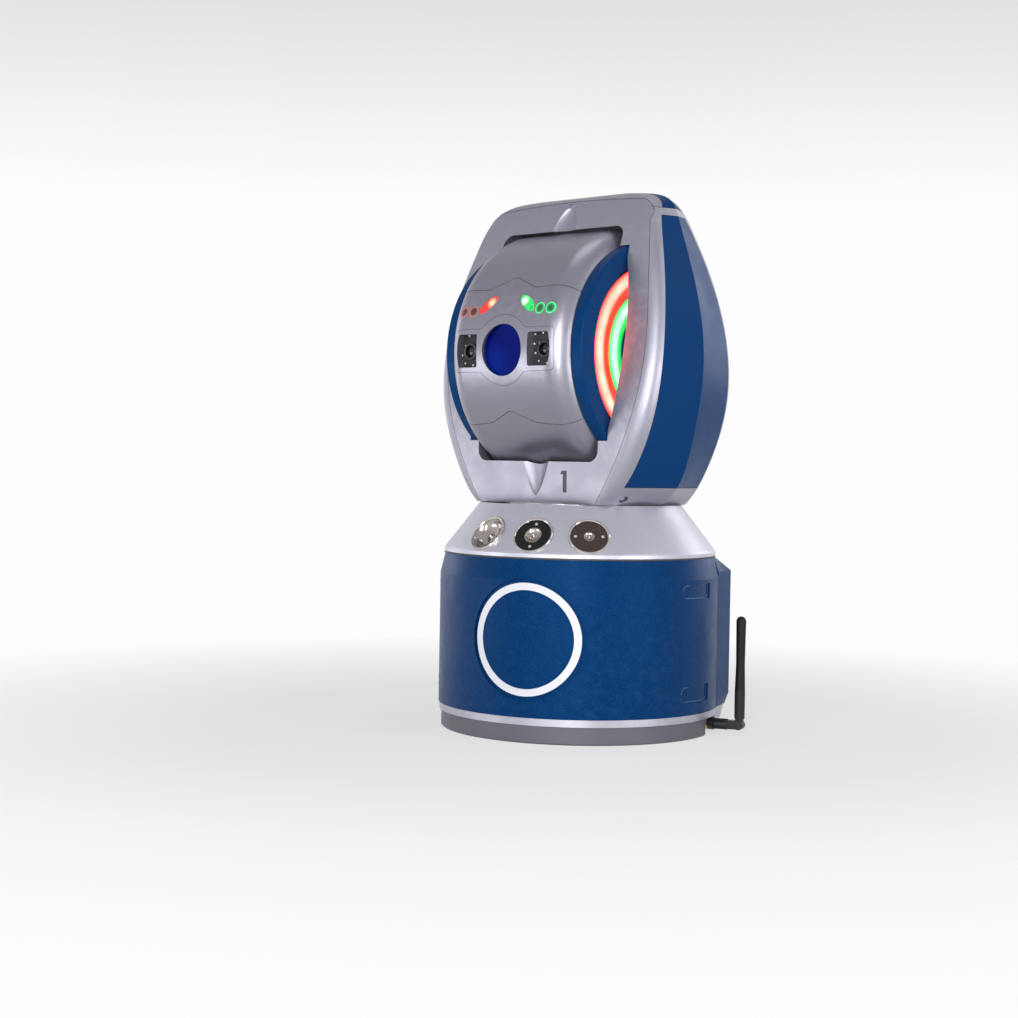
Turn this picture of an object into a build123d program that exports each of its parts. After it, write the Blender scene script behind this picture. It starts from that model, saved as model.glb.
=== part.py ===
from build123d import *
from math import atan2, cos, degrees, hypot, pi, radians, sin, sqrt
import os

# Laser tracker: a round base with three target nests, a yoke head that turns on it
# and a measuring drum that tilts in the yoke. Millimetres, +Z up.
# Origin: on the azimuth axis, at the underside of the base. The base's front is -Y.
# Head and drum are drawn with their front towards -Y, then turned by HEAD_TURN.

# Fits and gaps
SEAM = 0.4            # visible joint between two covers
FIT = 0.05            # radial fit of a bearing, bush or plug in its seat
RUN = 0.3             # gap between parts that turn past each other

# Foot and tray
FOOT_R = 107.4
FOOT_CORE_R = 100.0
FOOT_H = 13.7
FOOT_SCREW_RING = 84.0
FOOT_SECTOR = 88.0    # the wide front sector of the foot ends this far round, degrees
TRAY_T = 5.5
SKIRT_DROP = 5.7
SKIRT_SLOPE = 2.4
SKIRT_FRONT_Y = 22.0
THREAD_MINOR_R = 42.73   # 3 1/2 inch - 8 stand thread
THREAD_RING_WALL = 5.6
THREAD_FLANGE_R = 55.0
THREAD_FLANGE_T = 3.0

# Base covers
COVER_R = 109.7
TRAY_R = COVER_R - 0.7
COVER_WALL = 3.0
COVER_TOP_R = 105.9
COVER_TOP_Z = 136.8
BAND_H = 16.0
COVER_ANGLE = 102.0
REAR_R = 120.0
REAR_SIDE_Y = 48.6
REAR_WALL = 4.0
REAR_SHOULDER_Z = 125.0
REAR_FOOT_IN = 3.0       # how far the rear housing draws in at its foot
REAR_FOOT_H = 9.0

# Badge recess on the front cover
BADGE_Z = 77.0
BADGE_R = 45.0
BADGE_DEPTH = 1.3
BADGE_GROOVE = 2.6
BADGE_RING_R = 42.0
BADGE_RING_W = 5.4

# Finger recesses for the front cover's catches
CATCH_ANGLES = (66.0, 86.5)
CATCH_SLOT_ANGLE = 84.3
CATCH_UP_Z = (106.5, 118.0)
CATCH_LOW_Z = (28.5, 41.5)
CATCH_DEPTH = 0.9
CATCH_SLOT_W = 1.9

# Shoulder cone and the target nests on it
LIP_R = 106.7
LIP_H = 5.0
CONE_TOP_R = 79.4
CONE_TOP_Z = 176.0
CONE_WALL = 4.0
NEST_ANGLE = 25.0
NEST_PLACE = 0.66      # how far down the cone the nest centres lie
NEST_R = 15.6
NEST_DEPTH = 9.0
BEZEL_W = 1.7
BIG_BALL_R = 19.05
MID_BALL_R = 11.11
SMALL_BALL_R = 6.35
MID_CUP_R = 6.6
SMALL_CUP_R = 4.0

# Column, azimuth bearings and drive
COLUMN_R = 62.0
COLUMN_BORE = 53.0
COLUMN_TOP_Z = 166.0
COLUMN_FOOT_R = COVER_R - 14.7
SHAFT_R = 36.0
SHAFT_BORE = 28.0
SHAFT_FOOT_Z = 64.0
RACE_OUTER_R = 52.0
RACE_H = 14.0
LOWER_RACE_Z = 92.0
UPPER_RACE_Z = 148.0
HEAD_GAP = 0.4

# Head
HEAD_TURN = -18.4      # the head's turn from the base's front, as photographed
AXIS_Z = 291.6         # elevation axis
HEAD_CUT_Z = 401.0     # seam under the top cap
HEAD_TOP_Z = 416.0
FACE_T = 9.0           # thickness of the front and rear face panels
SIDE_T = 4.0           # thickness of the side panels
SIDE_LOW_Z = 190.0
SIDE_HIGH_Z = 395.0
WINDOW_HALF = 79.0     # half width of the opening at the axis
OPENING_Z = (208.6, 388.0)
OPENING_HALF = 60.3      # half width of the opening in front of the drum's shells
OPENING_CORNER = 8.5
SIDE_OPENING_Z = (225.2, 369.8)   # the wider part, in front of the discs
SIDE_OPENING_HALF = (67.4, 78.5)  # half width at its ends and at its middle
FACE_CORNER_X = 82.9   # where the face panel's round top corner starts
FACE_CORNER_Z = 390.0
FACE_CORNER_R = 12.0
FACE_TOP_Z = 411.5
INSERT_X = 54.0        # inner end of the blue inserts in the cap
BOSS_X = 94.0          # outer end of the bearing boss in each pillar
POCKET_FLOOR_X = 88.0  # floor of the pillars' equipment pockets
PILLAR_POCKET = ((34, 232), (34, 291), (25, 340), (17, 366))   # half width at each height
# Beam reliefs in a face: apex, middle of the mouth, width and depth at the mouth
TOP_RELIEF = ((0, -16.4, 407.8), (0, -25.4, 388.0), 34.0, 7.0)
LOW_RELIEF = ((0, -54.0, 182.6), (0, -54.6, 209.0), 29.0, 7.0)
RELIEF_BULGE = 0.75    # 1 is a straight cone, less is rounder
NOTCH_HALF = 3.2
# Round port in the head's skirt: centre, outward direction, radius and depth
PORT_PLACE = (73.1, -38.8, 181.0)
PORT_OUT = (0.76, -0.32, -0.56)
PORT_R = 3.6
PORT_DEEP = 5.0
# Sections of the head: height, then half width and half depth of the face's edge,
# half width and half depth of the side panel's edge, half width of the side ridge.
HEAD_SECTIONS = (
    (CONE_TOP_Z + HEAD_GAP, 57.5, 53.6, 67.0, 46.0, 77.5),
    (190.0, 66.4, 54.8, 79.6, 46.0, 94.0),
    (220.0, 82.0, 54.5, 96.4, 44.4, 106.2),
    (260.0, 95.2, 52.8, 107.9, 43.3, 114.6),
    (300.0, 98.3, 47.4, 109.2, 39.4, 115.8),
    (340.0, 93.5, 39.8, 103.0, 31.4, 108.4),
    (375.0, 87.2, 30.9, 92.8, 21.9, 97.3),
    (HEAD_CUT_Z, 79.6, 20.4, 83.6, 12.6, 88.3),
)
CAP_SECTIONS = (
    (HEAD_CUT_Z, 79.6, 20.4, 83.6, 12.6, 88.3),
    (406.0, 75.6, 17.8, 80.2, 10.8, 84.8),
    (410.0, 69.5, 15.0, 75.0, 8.8, 79.8),
    (413.0, 61.0, 11.4, 67.5, 6.4, 72.0),
    (415.0, 49.0, 7.0, 56.0, 4.0, 60.0),
    (HEAD_TOP_Z, 38.0, 3.4, 44.0, 2.0, 47.0),
)

# Drum
DRUM_R = 97.0
DRUM_WALL = 4.0
DRUM_HALF = 58.0
DRUM_FLAT_HALF = 40.0
DRUM_RIM_R = 85.0
DRUM_GAP = 1.4        # from the drum to the beams and panels round it
DISC_R = 85.6
DISC_GAP = 0.8
DISC_FACE_X = 68.5
DISC_DISH_R = 70.5    # dished middle of a disc, with the light rings in it
DISC_DISH_X = 64.5
RED_RING = (49.0, 66.5)
GREEN_RING = (34.0, 48.5)
RING_FLOOR_X = 60.5
RING_TOP_X = 66.5
RING_DOME = 1.6
APERTURE_R = 19.6
EYE_HALF_W = 49.0
EYE_HALF_H = 16.1
EYE_BULGE_R = 26.5
EYE_T = 1.8
POCKET_X = (25.4, 45.6)
POCKET_HALF_H = 12.6
UPPER_SEAM = (34.6, 28.7, 29.8)   # seam angles at the middle, the kinks and the rims
LOWER_SEAM = (-28.2, -34.0, -36.4)
KINK_X = 22.5
TRUNNION_R = 16.0
JOURNAL_R = 12.0
AXLE_RACE_R = 26.0
AXLE_RACE_X = 80.5
AXLE_RACE_W = 12.0
LAMP_ANGLE = 20.0
BEAD_R = 4.5
BEAD_X = (33.3, 43.3)
GLASS_R = 20.6
GLASS_Y = -92.2
TUBE_R = 21.0
TUBE_FRONT_Y = -85.0
TUBE_BACK_Y = 45.0
TUBE_FLANGE_R = 22.7   # clear of the camera pockets' walls
CORE_R = 29.0
POCKET_BACK_Y = -84.0
CAMERA_FACE_Y = -89.5
LENS_X = 37.2
LENS_R = 6.4

# Controller board behind the badge: size, place and its chips (x, z, width, height)
BOARD_HALF_W = 44.0
BOARD_H = 80.0
BOARD_T = 1.6
BOARD_IN = 24.7
BOARD_CHIPS = ((-22, 52, 22, 22), (16, 40, 14, 14), (22, 68, 30, 8), (-24, 20, 26, 7))

# Antenna
ANT_Y = 11.2
ANT_Z = 8.1
ANT_JACK_X = 104.0
ANT_ELBOW_X = 129.8
ANT_R = 4.0
ANT_JACK_R = 3.1
ANT_NUT_R = 4.9
ANT_NUT_LEN = 7.4
WHIP_TOP_Z = 92.0
WHIP_LEN = 78.6

# Rear of the base
DOOR_HALF_W = 52.0
DOOR_Z = (62.0, 118.0)
DOOR_PIN_R = 1.2
DOOR_RELIEF_R = 3.6    # room in the housing for the door's edge as it swings
BAY_DEPTH = 32.0
BAY_WALL = 2.0
PORT_HALF_W = 46.0
PORT_Z = (28.0, 52.0)
PORT_FLOOR_Y = 105.0
PORTS = {"power_inlet": (-30.0, 9.0, 8.0), "network_port": (-4.0, 8.0, 7.0)}
BUTTON_X = 24.0
BUTTON_R = 7.0
BUTTON_TRAVEL = 1.5

tray_top = FOOT_H + TRAY_T
band_z = COVER_TOP_Z - BAND_H
thread_top = tray_top + THREAD_FLANGE_T
lip_top_z = COVER_TOP_Z + LIP_H
lip_top_r = LIP_R - 1.0
cavity_r = DRUM_R + DRUM_GAP
nodes = {}


def add(name, *solids):
    """Keep one node: a single solid, or a group of separate solids."""
    flat = [s for part in solids for s in part.solids()]
    nodes[name] = flat[0] if len(flat) == 1 else Compound(children=flat)


def polygon(points):
    return make_face(Polyline(*points, close=True))


def revolve_z(points):
    """Solid of revolution about Z from (radius, height) points."""
    return revolve(Plane.XZ * polygon(points), Axis.Z)


def revolve_x(points):
    """Solid of revolution about the elevation axis from (x, radius) points."""
    return Pos(0, 0, AXIS_Z) * revolve(Plane.XZ * polygon(points), Axis.X)


def mirror_x(points):
    return [(-x, r) for x, r in reversed(points)]


def tube_z(r_in, r_out, z0, z1):
    return revolve_z([(r_in, z0), (r_out, z0), (r_out, z1), (r_in, z1)])


def tube_x(r_in, r_out, x0, x1):
    return revolve_x([(x0, r_in), (x0, r_out), (x1, r_out), (x1, r_in)])


def rod_z(radius, z0, z1, x=0, y=0):
    return Pos(x, y, z0) * extrude(Circle(radius), z1 - z0)


def prism_y(face, y0, y1):
    """Extrude a face drawn in (x, z) from y0 to y1."""
    return Pos(0, y1, 0) * extrude(Plane.XZ * face, y1 - y0, dir=(0, -1, 0))


def prism_x(face, x0, x1):
    """Extrude a face drawn in (y, z) from x0 to x1."""
    return Pos(x0, 0, 0) * extrude(Plane.YZ * face, x1 - x0, dir=(1, 0, 0))


def block(x0, x1, y0, y1, z0, z1):
    box = Box(x1 - x0, y1 - y0, z1 - z0)
    return Pos((x0 + x1) / 2, (y0 + y1) / 2, (z0 + z1) / 2) * box


def around(angle):
    """Turn about Z that brings the front (-Y) to this angle."""
    return Rot(0, 0, angle)


def sector(half_angle, z0, z1, reach=200.0):
    """Prism over the front sector of the base, from -half_angle to +half_angle."""
    a = radians(half_angle)
    edge = (reach * sin(a), -reach * cos(a))
    outline = [(0, 0), edge, (reach, -reach), (-reach, -reach), (-edge[0], edge[1])]
    return Pos(0, 0, z0) * extrude(polygon(outline), z1 - z0)


def in_head(solid):
    return Rot(0, 0, HEAD_TURN) * solid


# Base

def rear_plan(inset, cover_r=COVER_R, draw=0.0):
    """Outline of the bulged rear housing, its front edge on the cover's seam."""
    a = radians(COVER_ANGLE)
    seam = ((cover_r - inset) * sin(a), -(cover_r - inset) * cos(a))
    r = (REAR_R if cover_r == COVER_R else cover_r) - inset - draw
    side = (sqrt(r * r - REAR_SIDE_Y ** 2), REAR_SIDE_Y)
    edges = [
        Line((0, 0), seam),
        Line(seam, side),
        ThreePointArc(side, (0, r), (-side[0], side[1])),
        Line((-side[0], side[1]), (-seam[0], seam[1])),
        Line((-seam[0], seam[1]), (0, 0)),
    ]
    return make_face(edges)


def rear_body(inset, z0, z1):
    """Rear housing as a solid, every wall moved in by inset."""
    shoulder = REAR_SHOULDER_Z - 0.4 * inset
    foot_top = tray_top + REAR_FOOT_H
    foot = loft([Pos(0, 0, z0) * rear_plan(inset, draw=REAR_FOOT_IN),
                 Pos(0, 0, foot_top) * rear_plan(inset)], ruled=True)
    middle = Pos(0, 0, foot_top) * extrude(rear_plan(inset), shoulder - foot_top)
    roof = loft([Pos(0, 0, shoulder) * rear_plan(inset),
                 Pos(0, 0, z1) * rear_plan(inset, COVER_TOP_R)], ruled=True)
    return foot + middle + roof


def make_foot():
    foot = tube_z(THREAD_MINOR_R + THREAD_RING_WALL + FIT, FOOT_CORE_R, 0, FOOT_H)
    wide = revolve_z([(FOOT_CORE_R, 0), (FOOT_R - 1.2, 0), (FOOT_R, 1.2), (FOOT_R, FOOT_H),
                      (FOOT_CORE_R, FOOT_H)])
    foot += wide & sector(FOOT_SECTOR, 0, FOOT_H)
    jack_hole = Pos(ANT_JACK_X, ANT_Y, ANT_Z) * Rot(0, -90, 0) * extrude(Circle(ANT_JACK_R), 16)
    add("foot_ring", foot - jack_hole)
    ring_r = THREAD_MINOR_R + THREAD_RING_WALL
    add("stand_thread_ring", revolve_z([
        (THREAD_MINOR_R, 0), (ring_r, 0), (ring_r, tray_top), (THREAD_FLANGE_R, tray_top),
        (THREAD_FLANGE_R, thread_top), (THREAD_MINOR_R, thread_top)]))


def make_tray():
    disc = Pos(0, 0, FOOT_H) * extrude(Circle(TRAY_R), TRAY_T)
    front = disc & sector(COVER_ANGLE, FOOT_H, tray_top)
    rear_low = tray_top - TRAY_T - SKIRT_DROP
    tray_in = COVER_R - TRAY_R
    skirt = loft([Pos(0, 0, rear_low) * rear_plan(tray_in, draw=REAR_FOOT_IN + SKIRT_SLOPE),
                  Pos(0, 0, tray_top) * rear_plan(tray_in, draw=REAR_FOOT_IN)], ruled=True)
    rear = skirt - rod_z(FOOT_CORE_R + FIT, rear_low, FOOT_H)
    rear -= block(-REAR_R, REAR_R, -REAR_R, SKIRT_FRONT_Y, rear_low, FOOT_H)
    hole = rod_z(THREAD_MINOR_R + THREAD_RING_WALL + FIT, FOOT_H, tray_top)
    add("base_tray", front + rear - hole)


def radial_cut(radius, angle, z):
    """Cylinder through the front cover's wall at one angle and height."""
    start = Pos(0, -(COVER_R - 20), z) * Rot(90, 0, 0)
    return around(angle) * start * extrude(Circle(radius), 30)


def catch_outline(z_pair, side):
    """Finger recess in (arc length, z), rounded at the front end."""
    u0 = COVER_R * radians(CATCH_ANGLES[0])
    u1 = COVER_R * radians(CATCH_ANGLES[1])
    z0, z1 = z_pair
    mid = (z0 + z1) / 2
    outline = [(u0 + 2.0, mid + 2.4), (u0 + 9.0, z1 - 1.2), (u1, z1), (u1, z0),
               (u0 + 9.0, z0), (u0 + 2.0, z0 + 2.0), (u0, mid - 1.0)]
    return [(side * (u - (u0 + u1) / 2), z) for u, z in outline]


def catch_tools():
    """Recess cutters and the slots at their ends, on both sides and at both heights."""
    middle = (CATCH_ANGLES[0] + CATCH_ANGLES[1]) / 2
    recesses, slots, tongues = [], [], []
    shell = tube_z(COVER_R - CATCH_DEPTH, COVER_R + 5, tray_top, COVER_TOP_Z)
    for side in (-1, 1):
        for pair in (CATCH_LOW_Z, CATCH_UP_Z):
            flat = prism_y(polygon(catch_outline(pair, side)), -COVER_R - 10, -COVER_R + 20)
            recesses.append(around(side * middle) * flat & shell)
            z0, z1 = pair[0] + 3.2, pair[1] - 0.9
            slots.append(around(side * CATCH_SLOT_ANGLE)
                         * block(-CATCH_SLOT_W / 2, CATCH_SLOT_W / 2, -COVER_R - 2, -COVER_R + 6,
                                 z0, z1))
            tongues.append(around(side * CATCH_SLOT_ANGLE)
                           * block(-CATCH_SLOT_W / 2 + FIT, CATCH_SLOT_W / 2 - FIT,
                                   -COVER_R + 2.0, -COVER_R + 8.0, z0 + FIT, z1 - FIT))
    return recesses, slots, tongues


def make_front_cover():
    outer = revolve_z([(0, tray_top), (COVER_R, tray_top), (COVER_R, band_z),
                       (COVER_TOP_R, COVER_TOP_Z), (0, COVER_TOP_Z)])
    w = COVER_WALL
    inner = revolve_z([(0, tray_top), (COVER_R - w, tray_top), (COVER_R - w, band_z - 1),
                       (COVER_TOP_R - w, COVER_TOP_Z), (0, COVER_TOP_Z)])
    gap_angle = degrees(SEAM / 2 / COVER_R)
    cover = (outer - inner) & sector(COVER_ANGLE - gap_angle, tray_top, COVER_TOP_Z)
    pocket = radial_cut(BADGE_R, 0, BADGE_Z) - rod_z(COVER_R - BADGE_DEPTH, 0, COVER_TOP_Z)
    cover -= pocket
    recesses, slots, tongues = catch_tools()
    for tool in recesses + slots:
        cover -= tool
    add("cover_catches", *tongues)
    floor_r = COVER_R - BADGE_DEPTH
    disc_r = BADGE_R - BADGE_GROOVE
    blank = tube_z(floor_r - 0.2, COVER_R - 0.2, BADGE_Z - BADGE_R, BADGE_Z + BADGE_R)
    disc = blank & radial_cut(disc_r, 0, BADGE_Z)
    ring_blank = tube_z(floor_r + 0.6, COVER_R, BADGE_Z - BADGE_R, BADGE_Z + BADGE_R)
    ring = ring_blank & radial_cut(BADGE_RING_R, 0, BADGE_Z)
    ring -= radial_cut(BADGE_RING_R - BADGE_RING_W, 0, BADGE_Z)
    add("front_cover", cover + (disc - ring))
    add("badge_ring", ring)


def door_blank(clear):
    """Curved door panel in the rear wall, grown by clear on every edge."""
    z0, z1 = DOOR_Z
    band = block(-DOOR_HALF_W - clear, DOOR_HALF_W + clear, REAR_R / 2, REAR_R + 10,
                 z0 - clear, z1 + clear)
    return tube_z(REAR_R - REAR_WALL - 0.01, REAR_R + 0.01, z0 - clear, z1 + clear) & band


def hinge_point():
    r = REAR_R - REAR_WALL / 2
    x = -(DOOR_HALF_W - 2.2)
    return x, sqrt(r * r - x * x)


def make_rear_housing():
    hx, hy = hinge_point()
    outer = rear_body(0, tray_top, COVER_TOP_Z)
    inner = rear_body(REAR_WALL, tray_top - 1, COVER_TOP_Z + 1)
    housing = outer - inner
    front_cut = sector(COVER_ANGLE + degrees(SEAM / 2 / COVER_R), tray_top, COVER_TOP_Z)
    housing -= front_cut
    z0, z1 = PORT_Z
    box = block(-PORT_HALF_W - 2.5, PORT_HALF_W + 2.5, PORT_FLOOR_Y - 3, REAR_R + 10,
                z0 - 2.5, z1 + 2.5)
    housing += box & outer
    housing -= block(-PORT_HALF_W, PORT_HALF_W, PORT_FLOOR_Y, REAR_R + 10, z0, z1)
    housing -= door_blank(SEAM)
    housing -= rod_z(DOOR_RELIEF_R, DOOR_Z[0] - SEAM, DOOR_Z[1] + SEAM, hx, hy)
    for z in (DOOR_Z[0] - 4, DOOR_Z[1] - 1):
        housing -= rod_z(DOOR_PIN_R + FIT, z, z + 5, hx, hy)
    port_mid = (z0 + z1) / 2
    for x, half_w, half_h in PORTS.values():
        housing -= block(x - half_w, x + half_w, PORT_FLOOR_Y - 3, PORT_FLOOR_Y,
                         port_mid - half_h, port_mid + half_h)
    button_hole = Pos(BUTTON_X, PORT_FLOOR_Y, port_mid) * Rot(90, 0, 0)
    housing -= button_hole * extrude(Circle(BUTTON_R + RUN), 3)
    add("rear_housing", housing)


def make_ports():
    """Sockets behind the rear recess, and the sprung power button."""
    mid = (PORT_Z[0] + PORT_Z[1]) / 2
    sockets = []
    for name, (x, half_w, half_h) in PORTS.items():
        shell = block(x - half_w + FIT, x + half_w - FIT, PORT_FLOOR_Y - 22, PORT_FLOOR_Y + 1,
                      mid - half_h + FIT, mid + half_h - FIT)
        flange = block(x - half_w - 2, x + half_w + 2, PORT_FLOOR_Y - 5, PORT_FLOOR_Y - 3,
                       mid - half_h - 1.4, mid + half_h + 1.4)
        if name == "power_inlet":
            seat = Pos(x, PORT_FLOOR_Y + 1, mid) * Rot(90, 0, 0)
            body = shell + flange - seat * extrude(Circle(half_h - 1.4), 12)
        else:
            body = shell + flange
            body -= block(x - 5.9, x + 5.9, PORT_FLOOR_Y - 14, PORT_FLOOR_Y + 1, mid - 4, mid + 4.2)
            body -= block(x - 3, x + 3, PORT_FLOOR_Y - 14, PORT_FLOOR_Y + 1, mid - 5.6, mid - 3.9)
        sockets.append(body)
    seat = Pos(BUTTON_X, PORT_FLOOR_Y + 2.2, mid) * Rot(90, 0, 0)
    cap = seat * extrude(Circle(BUTTON_R), 5.2 + RUN)
    collar = Pos(BUTTON_X, PORT_FLOOR_Y - 3 - RUN, mid) * Rot(90, 0, 0)
    cap += collar * extrude(Circle(BUTTON_R + 2), 1.6)
    add("power_button", cap)
    back_y = PORT_FLOOR_Y - 3 - RUN - 1.6 - BUTTON_TRAVEL - RUN
    holder = block(BUTTON_X - 12, BUTTON_X + 12, back_y - 3, PORT_FLOOR_Y - 3, mid - 12, mid + 12)
    well = Pos(BUTTON_X, PORT_FLOOR_Y - 3, mid) * Rot(90, 0, 0)
    holder -= well * extrude(Circle(BUTTON_R + 2 + RUN), PORT_FLOOR_Y - 3 - back_y)
    add("rear_sockets", *sockets, holder)


def make_door():
    hx, hy = hinge_point()
    door = door_blank(-SEAM / 2)
    door += rod_z(2.0, DOOR_Z[0] + SEAM, DOOR_Z[1] - SEAM, hx, hy)
    door -= block(-DOOR_HALF_W - 5, hx, REAR_R / 2, REAR_R + 10, DOOR_Z[0] - 1, DOOR_Z[1] + 1) \
        - rod_z(2.0, DOOR_Z[0] - 1, DOOR_Z[1] + 1, hx, hy)
    door += rod_z(DOOR_PIN_R, DOOR_Z[0] - 2.8, DOOR_Z[1] + 2.8, hx, hy)
    pull = Pos(DOOR_HALF_W - 12, REAR_R - 4.4, (DOOR_Z[0] + DOOR_Z[1]) / 2) * Rot(90, 0, 0)
    pull_cut = pull * extrude(SlotOverall(24, 9, rotation=90), -20)
    door -= pull_cut - rod_z(REAR_R - 1.6, 0, COVER_TOP_Z)
    add("battery_door", door)


def make_battery_bay():
    z0 = DOOR_Z[0] - 1.0
    z1 = DOOR_Z[1] - 2.0
    x = DOOR_HALF_W - 3.0
    y1 = REAR_R - REAR_WALL - 13.0
    y0 = y1 - BAY_DEPTH
    wall = BAY_WALL
    bay = block(-x, x, y0, y1, z0, z1)
    cells = x - 1.5 * wall
    for side in (-1, 1):
        low = wall / 2 if side > 0 else -wall / 2 - cells
        bay -= block(low, low + cells, y0 + wall, y1 + 1, z0 + wall, z1 - wall)
    for side in (-1, 1):
        inner_x = side * (x - 4)
        bay += block(min(inner_x, side * x), max(inner_x, side * x), y0, y0 + 4,
                     tray_top + 6.0, z0)
    add("battery_bay", bay)
    packs = []
    for side in (-1, 1):
        mid = side * (wall / 2 + cells / 2)
        half = cells / 2 - 0.3
        packs.append(block(mid - half, mid + half, y0 + wall, y1 + 2, z0 + wall, z1 - wall - 0.6))
    add("battery_packs", *packs)


def nest_frame(angle):
    """Plane on the cone at one nest: z out of the cone, x round it, y up it."""
    r = lip_top_r + (CONE_TOP_R - lip_top_r) * (1 - NEST_PLACE)
    z = lip_top_z + (CONE_TOP_Z - lip_top_z) * (1 - NEST_PLACE)
    run = lip_top_r - CONE_TOP_R
    rise = CONE_TOP_Z - lip_top_z
    a = radians(angle)
    length = hypot(run, rise)
    out = rise / length
    up = run / length
    normal = (out * sin(a), -out * cos(a), up)
    return Plane(origin=(r * sin(a), -r * cos(a), z), x_dir=(cos(a), sin(a), 0), z_dir=normal)


def ball_cup(radius, ball_r, top):
    """Turned cup whose bowl seats a ball near its rim, with a magnet well below."""
    mouth = radius - 0.9
    bowl_r = ball_r * 0.9 if ball_r * 0.9 > mouth else mouth + 0.2
    depth = bowl_r - sqrt(bowl_r ** 2 - mouth ** 2)
    depth = min(depth, NEST_DEPTH - 2.6)
    well = mouth * 0.32
    profile = make_face([
        Line((0, -NEST_DEPTH), (radius, -NEST_DEPTH)),
        Line((radius, -NEST_DEPTH), (radius, top)),
        Line((radius, top), (mouth, top)),
        ThreePointArc((mouth, top), (mouth * 0.72, top - depth * 0.66), (well, top - depth)),
        Line((well, top - depth), (well, top - depth - 1.2)),
        Line((well, top - depth - 1.2), (0, top - depth - 1.2)),
        Line((0, top - depth - 1.2), (0, -NEST_DEPTH)),
    ])
    return revolve(Plane.XZ * profile, Axis.Z)


def make_shoulder():
    w = CONE_WALL
    web_z = UPPER_RACE_Z + 2
    shell = revolve_z([
        (LIP_R - 9, COVER_TOP_Z), (LIP_R - 0.8, COVER_TOP_Z), (LIP_R, COVER_TOP_Z + 0.8),
        (LIP_R, COVER_TOP_Z + 3.4), (lip_top_r, lip_top_z), (CONE_TOP_R, CONE_TOP_Z),
        (CONE_TOP_R - w, CONE_TOP_Z), (CONE_TOP_R - w, CONE_TOP_Z - 3), (96.5, web_z),
        (96.5, COVER_TOP_Z + 4), (LIP_R - 9, COVER_TOP_Z + 4)])
    shell += revolve_z([(COLUMN_R + FIT, web_z), (97, web_z), (93, web_z + 5),
                        (COLUMN_R + FIT, web_z + 5)])
    outside = revolve_z([(60, COVER_TOP_Z), (LIP_R, COVER_TOP_Z), (lip_top_r, lip_top_z),
                         (CONE_TOP_R, CONE_TOP_Z), (60, CONE_TOP_Z)])
    bezels, screws, cups, plates = [], [], [], []
    for angle in (-NEST_ANGLE, 0, NEST_ANGLE):
        frame = nest_frame(angle)
        boss = frame * Pos(0, 0, -NEST_DEPTH - 3) * extrude(Circle(NEST_R + 3), NEST_DEPTH + 2)
        shell += boss & outside
    for index, angle in enumerate((-NEST_ANGLE, 0, NEST_ANGLE)):
        frame = nest_frame(angle)
        shell -= frame * Pos(0, 0, -NEST_DEPTH) * extrude(Circle(NEST_R), NEST_DEPTH + 6)
        inner = NEST_R - BEZEL_W
        bezel = revolve_z([(inner, -NEST_DEPTH), (NEST_R - FIT, -NEST_DEPTH), (NEST_R - FIT, 0.5),
                           (NEST_R - 0.5, 1.0), (inner + 0.5, 1.0), (inner, 0.5)])
        bezels.append(frame * bezel)
        plate_r = inner - FIT
        if index == 0:
            cup = ball_cup(plate_r, BIG_BALL_R, 0.3)
            places = [(11.4, 90 + 120 * k) for k in range(3)]
        else:
            cup_r = MID_CUP_R if index == 1 else SMALL_CUP_R
            ball_r = MID_BALL_R if index == 1 else SMALL_BALL_R
            cup = ball_cup(cup_r, ball_r, 0.5)
            plate = tube_z(cup_r + FIT, plate_r, -NEST_DEPTH, 0)
            places = [(10.2, 90 * index + 180 * k) for k in range(2)]
        for reach, turn in places:
            x = reach * cos(radians(turn))
            y = reach * sin(radians(turn))
            head = rod_z(1.25, -3.0, 0.35, x, y) - rod_z(0.6, -0.5, 0.4, x, y)
            screws.append(frame * head)
            hole = rod_z(1.25 + FIT, -3.0, 2.0, x, y)
            if index == 0:
                cup -= hole
            else:
                plate -= hole
        cups.append(frame * cup)
        if index > 0:
            plates.append(frame * plate)
    add("shoulder_cone", shell)
    add("nest_bezels", *bezels)
    add("nest_cups", *cups)
    add("nest_plates", *plates)
    add("nest_screws", *screws)


def make_column():
    top = COLUMN_TOP_Z
    seat = RACE_OUTER_R + FIT
    shoulder = RACE_OUTER_R - 2
    ledge = UPPER_RACE_Z + 2
    add("azimuth_column", revolve_z([
        (0, thread_top), (THREAD_FLANGE_R + 1, thread_top), (THREAD_FLANGE_R + 1, tray_top),
        (COLUMN_FOOT_R, tray_top), (COLUMN_FOOT_R, tray_top + 6), (COLUMN_R + 5, tray_top + 6),
        (COLUMN_R, tray_top + 12), (COLUMN_R, ledge - 12), (COLUMN_R + 7, ledge - 5),
        (COLUMN_R + 7, ledge), (COLUMN_R, ledge), (COLUMN_R, top), (seat, top),
        (seat, UPPER_RACE_Z), (shoulder, UPPER_RACE_Z), (shoulder, LOWER_RACE_Z + RACE_H),
        (seat, LOWER_RACE_Z + RACE_H), (seat, LOWER_RACE_Z), (COLUMN_BORE, LOWER_RACE_Z),
        (COLUMN_BORE, tray_top + 10), (0, tray_top + 10)]))


def outer_race(z0):
    """Outer race with its two shields, about Z."""
    z1 = z0 + RACE_H
    shield = SHAFT_R + 5.4
    return revolve_z([
        (shield, z0), (RACE_OUTER_R, z0), (RACE_OUTER_R, z1), (shield, z1), (shield, z1 - 1.2),
        (RACE_OUTER_R - 4.5, z1 - 1.2), (RACE_OUTER_R - 4.5, z0 + 1.2), (shield, z0 + 1.2)])


def inner_race(z0):
    return tube_z(SHAFT_R + FIT, SHAFT_R + 5.0, z0, z0 + RACE_H)


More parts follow.
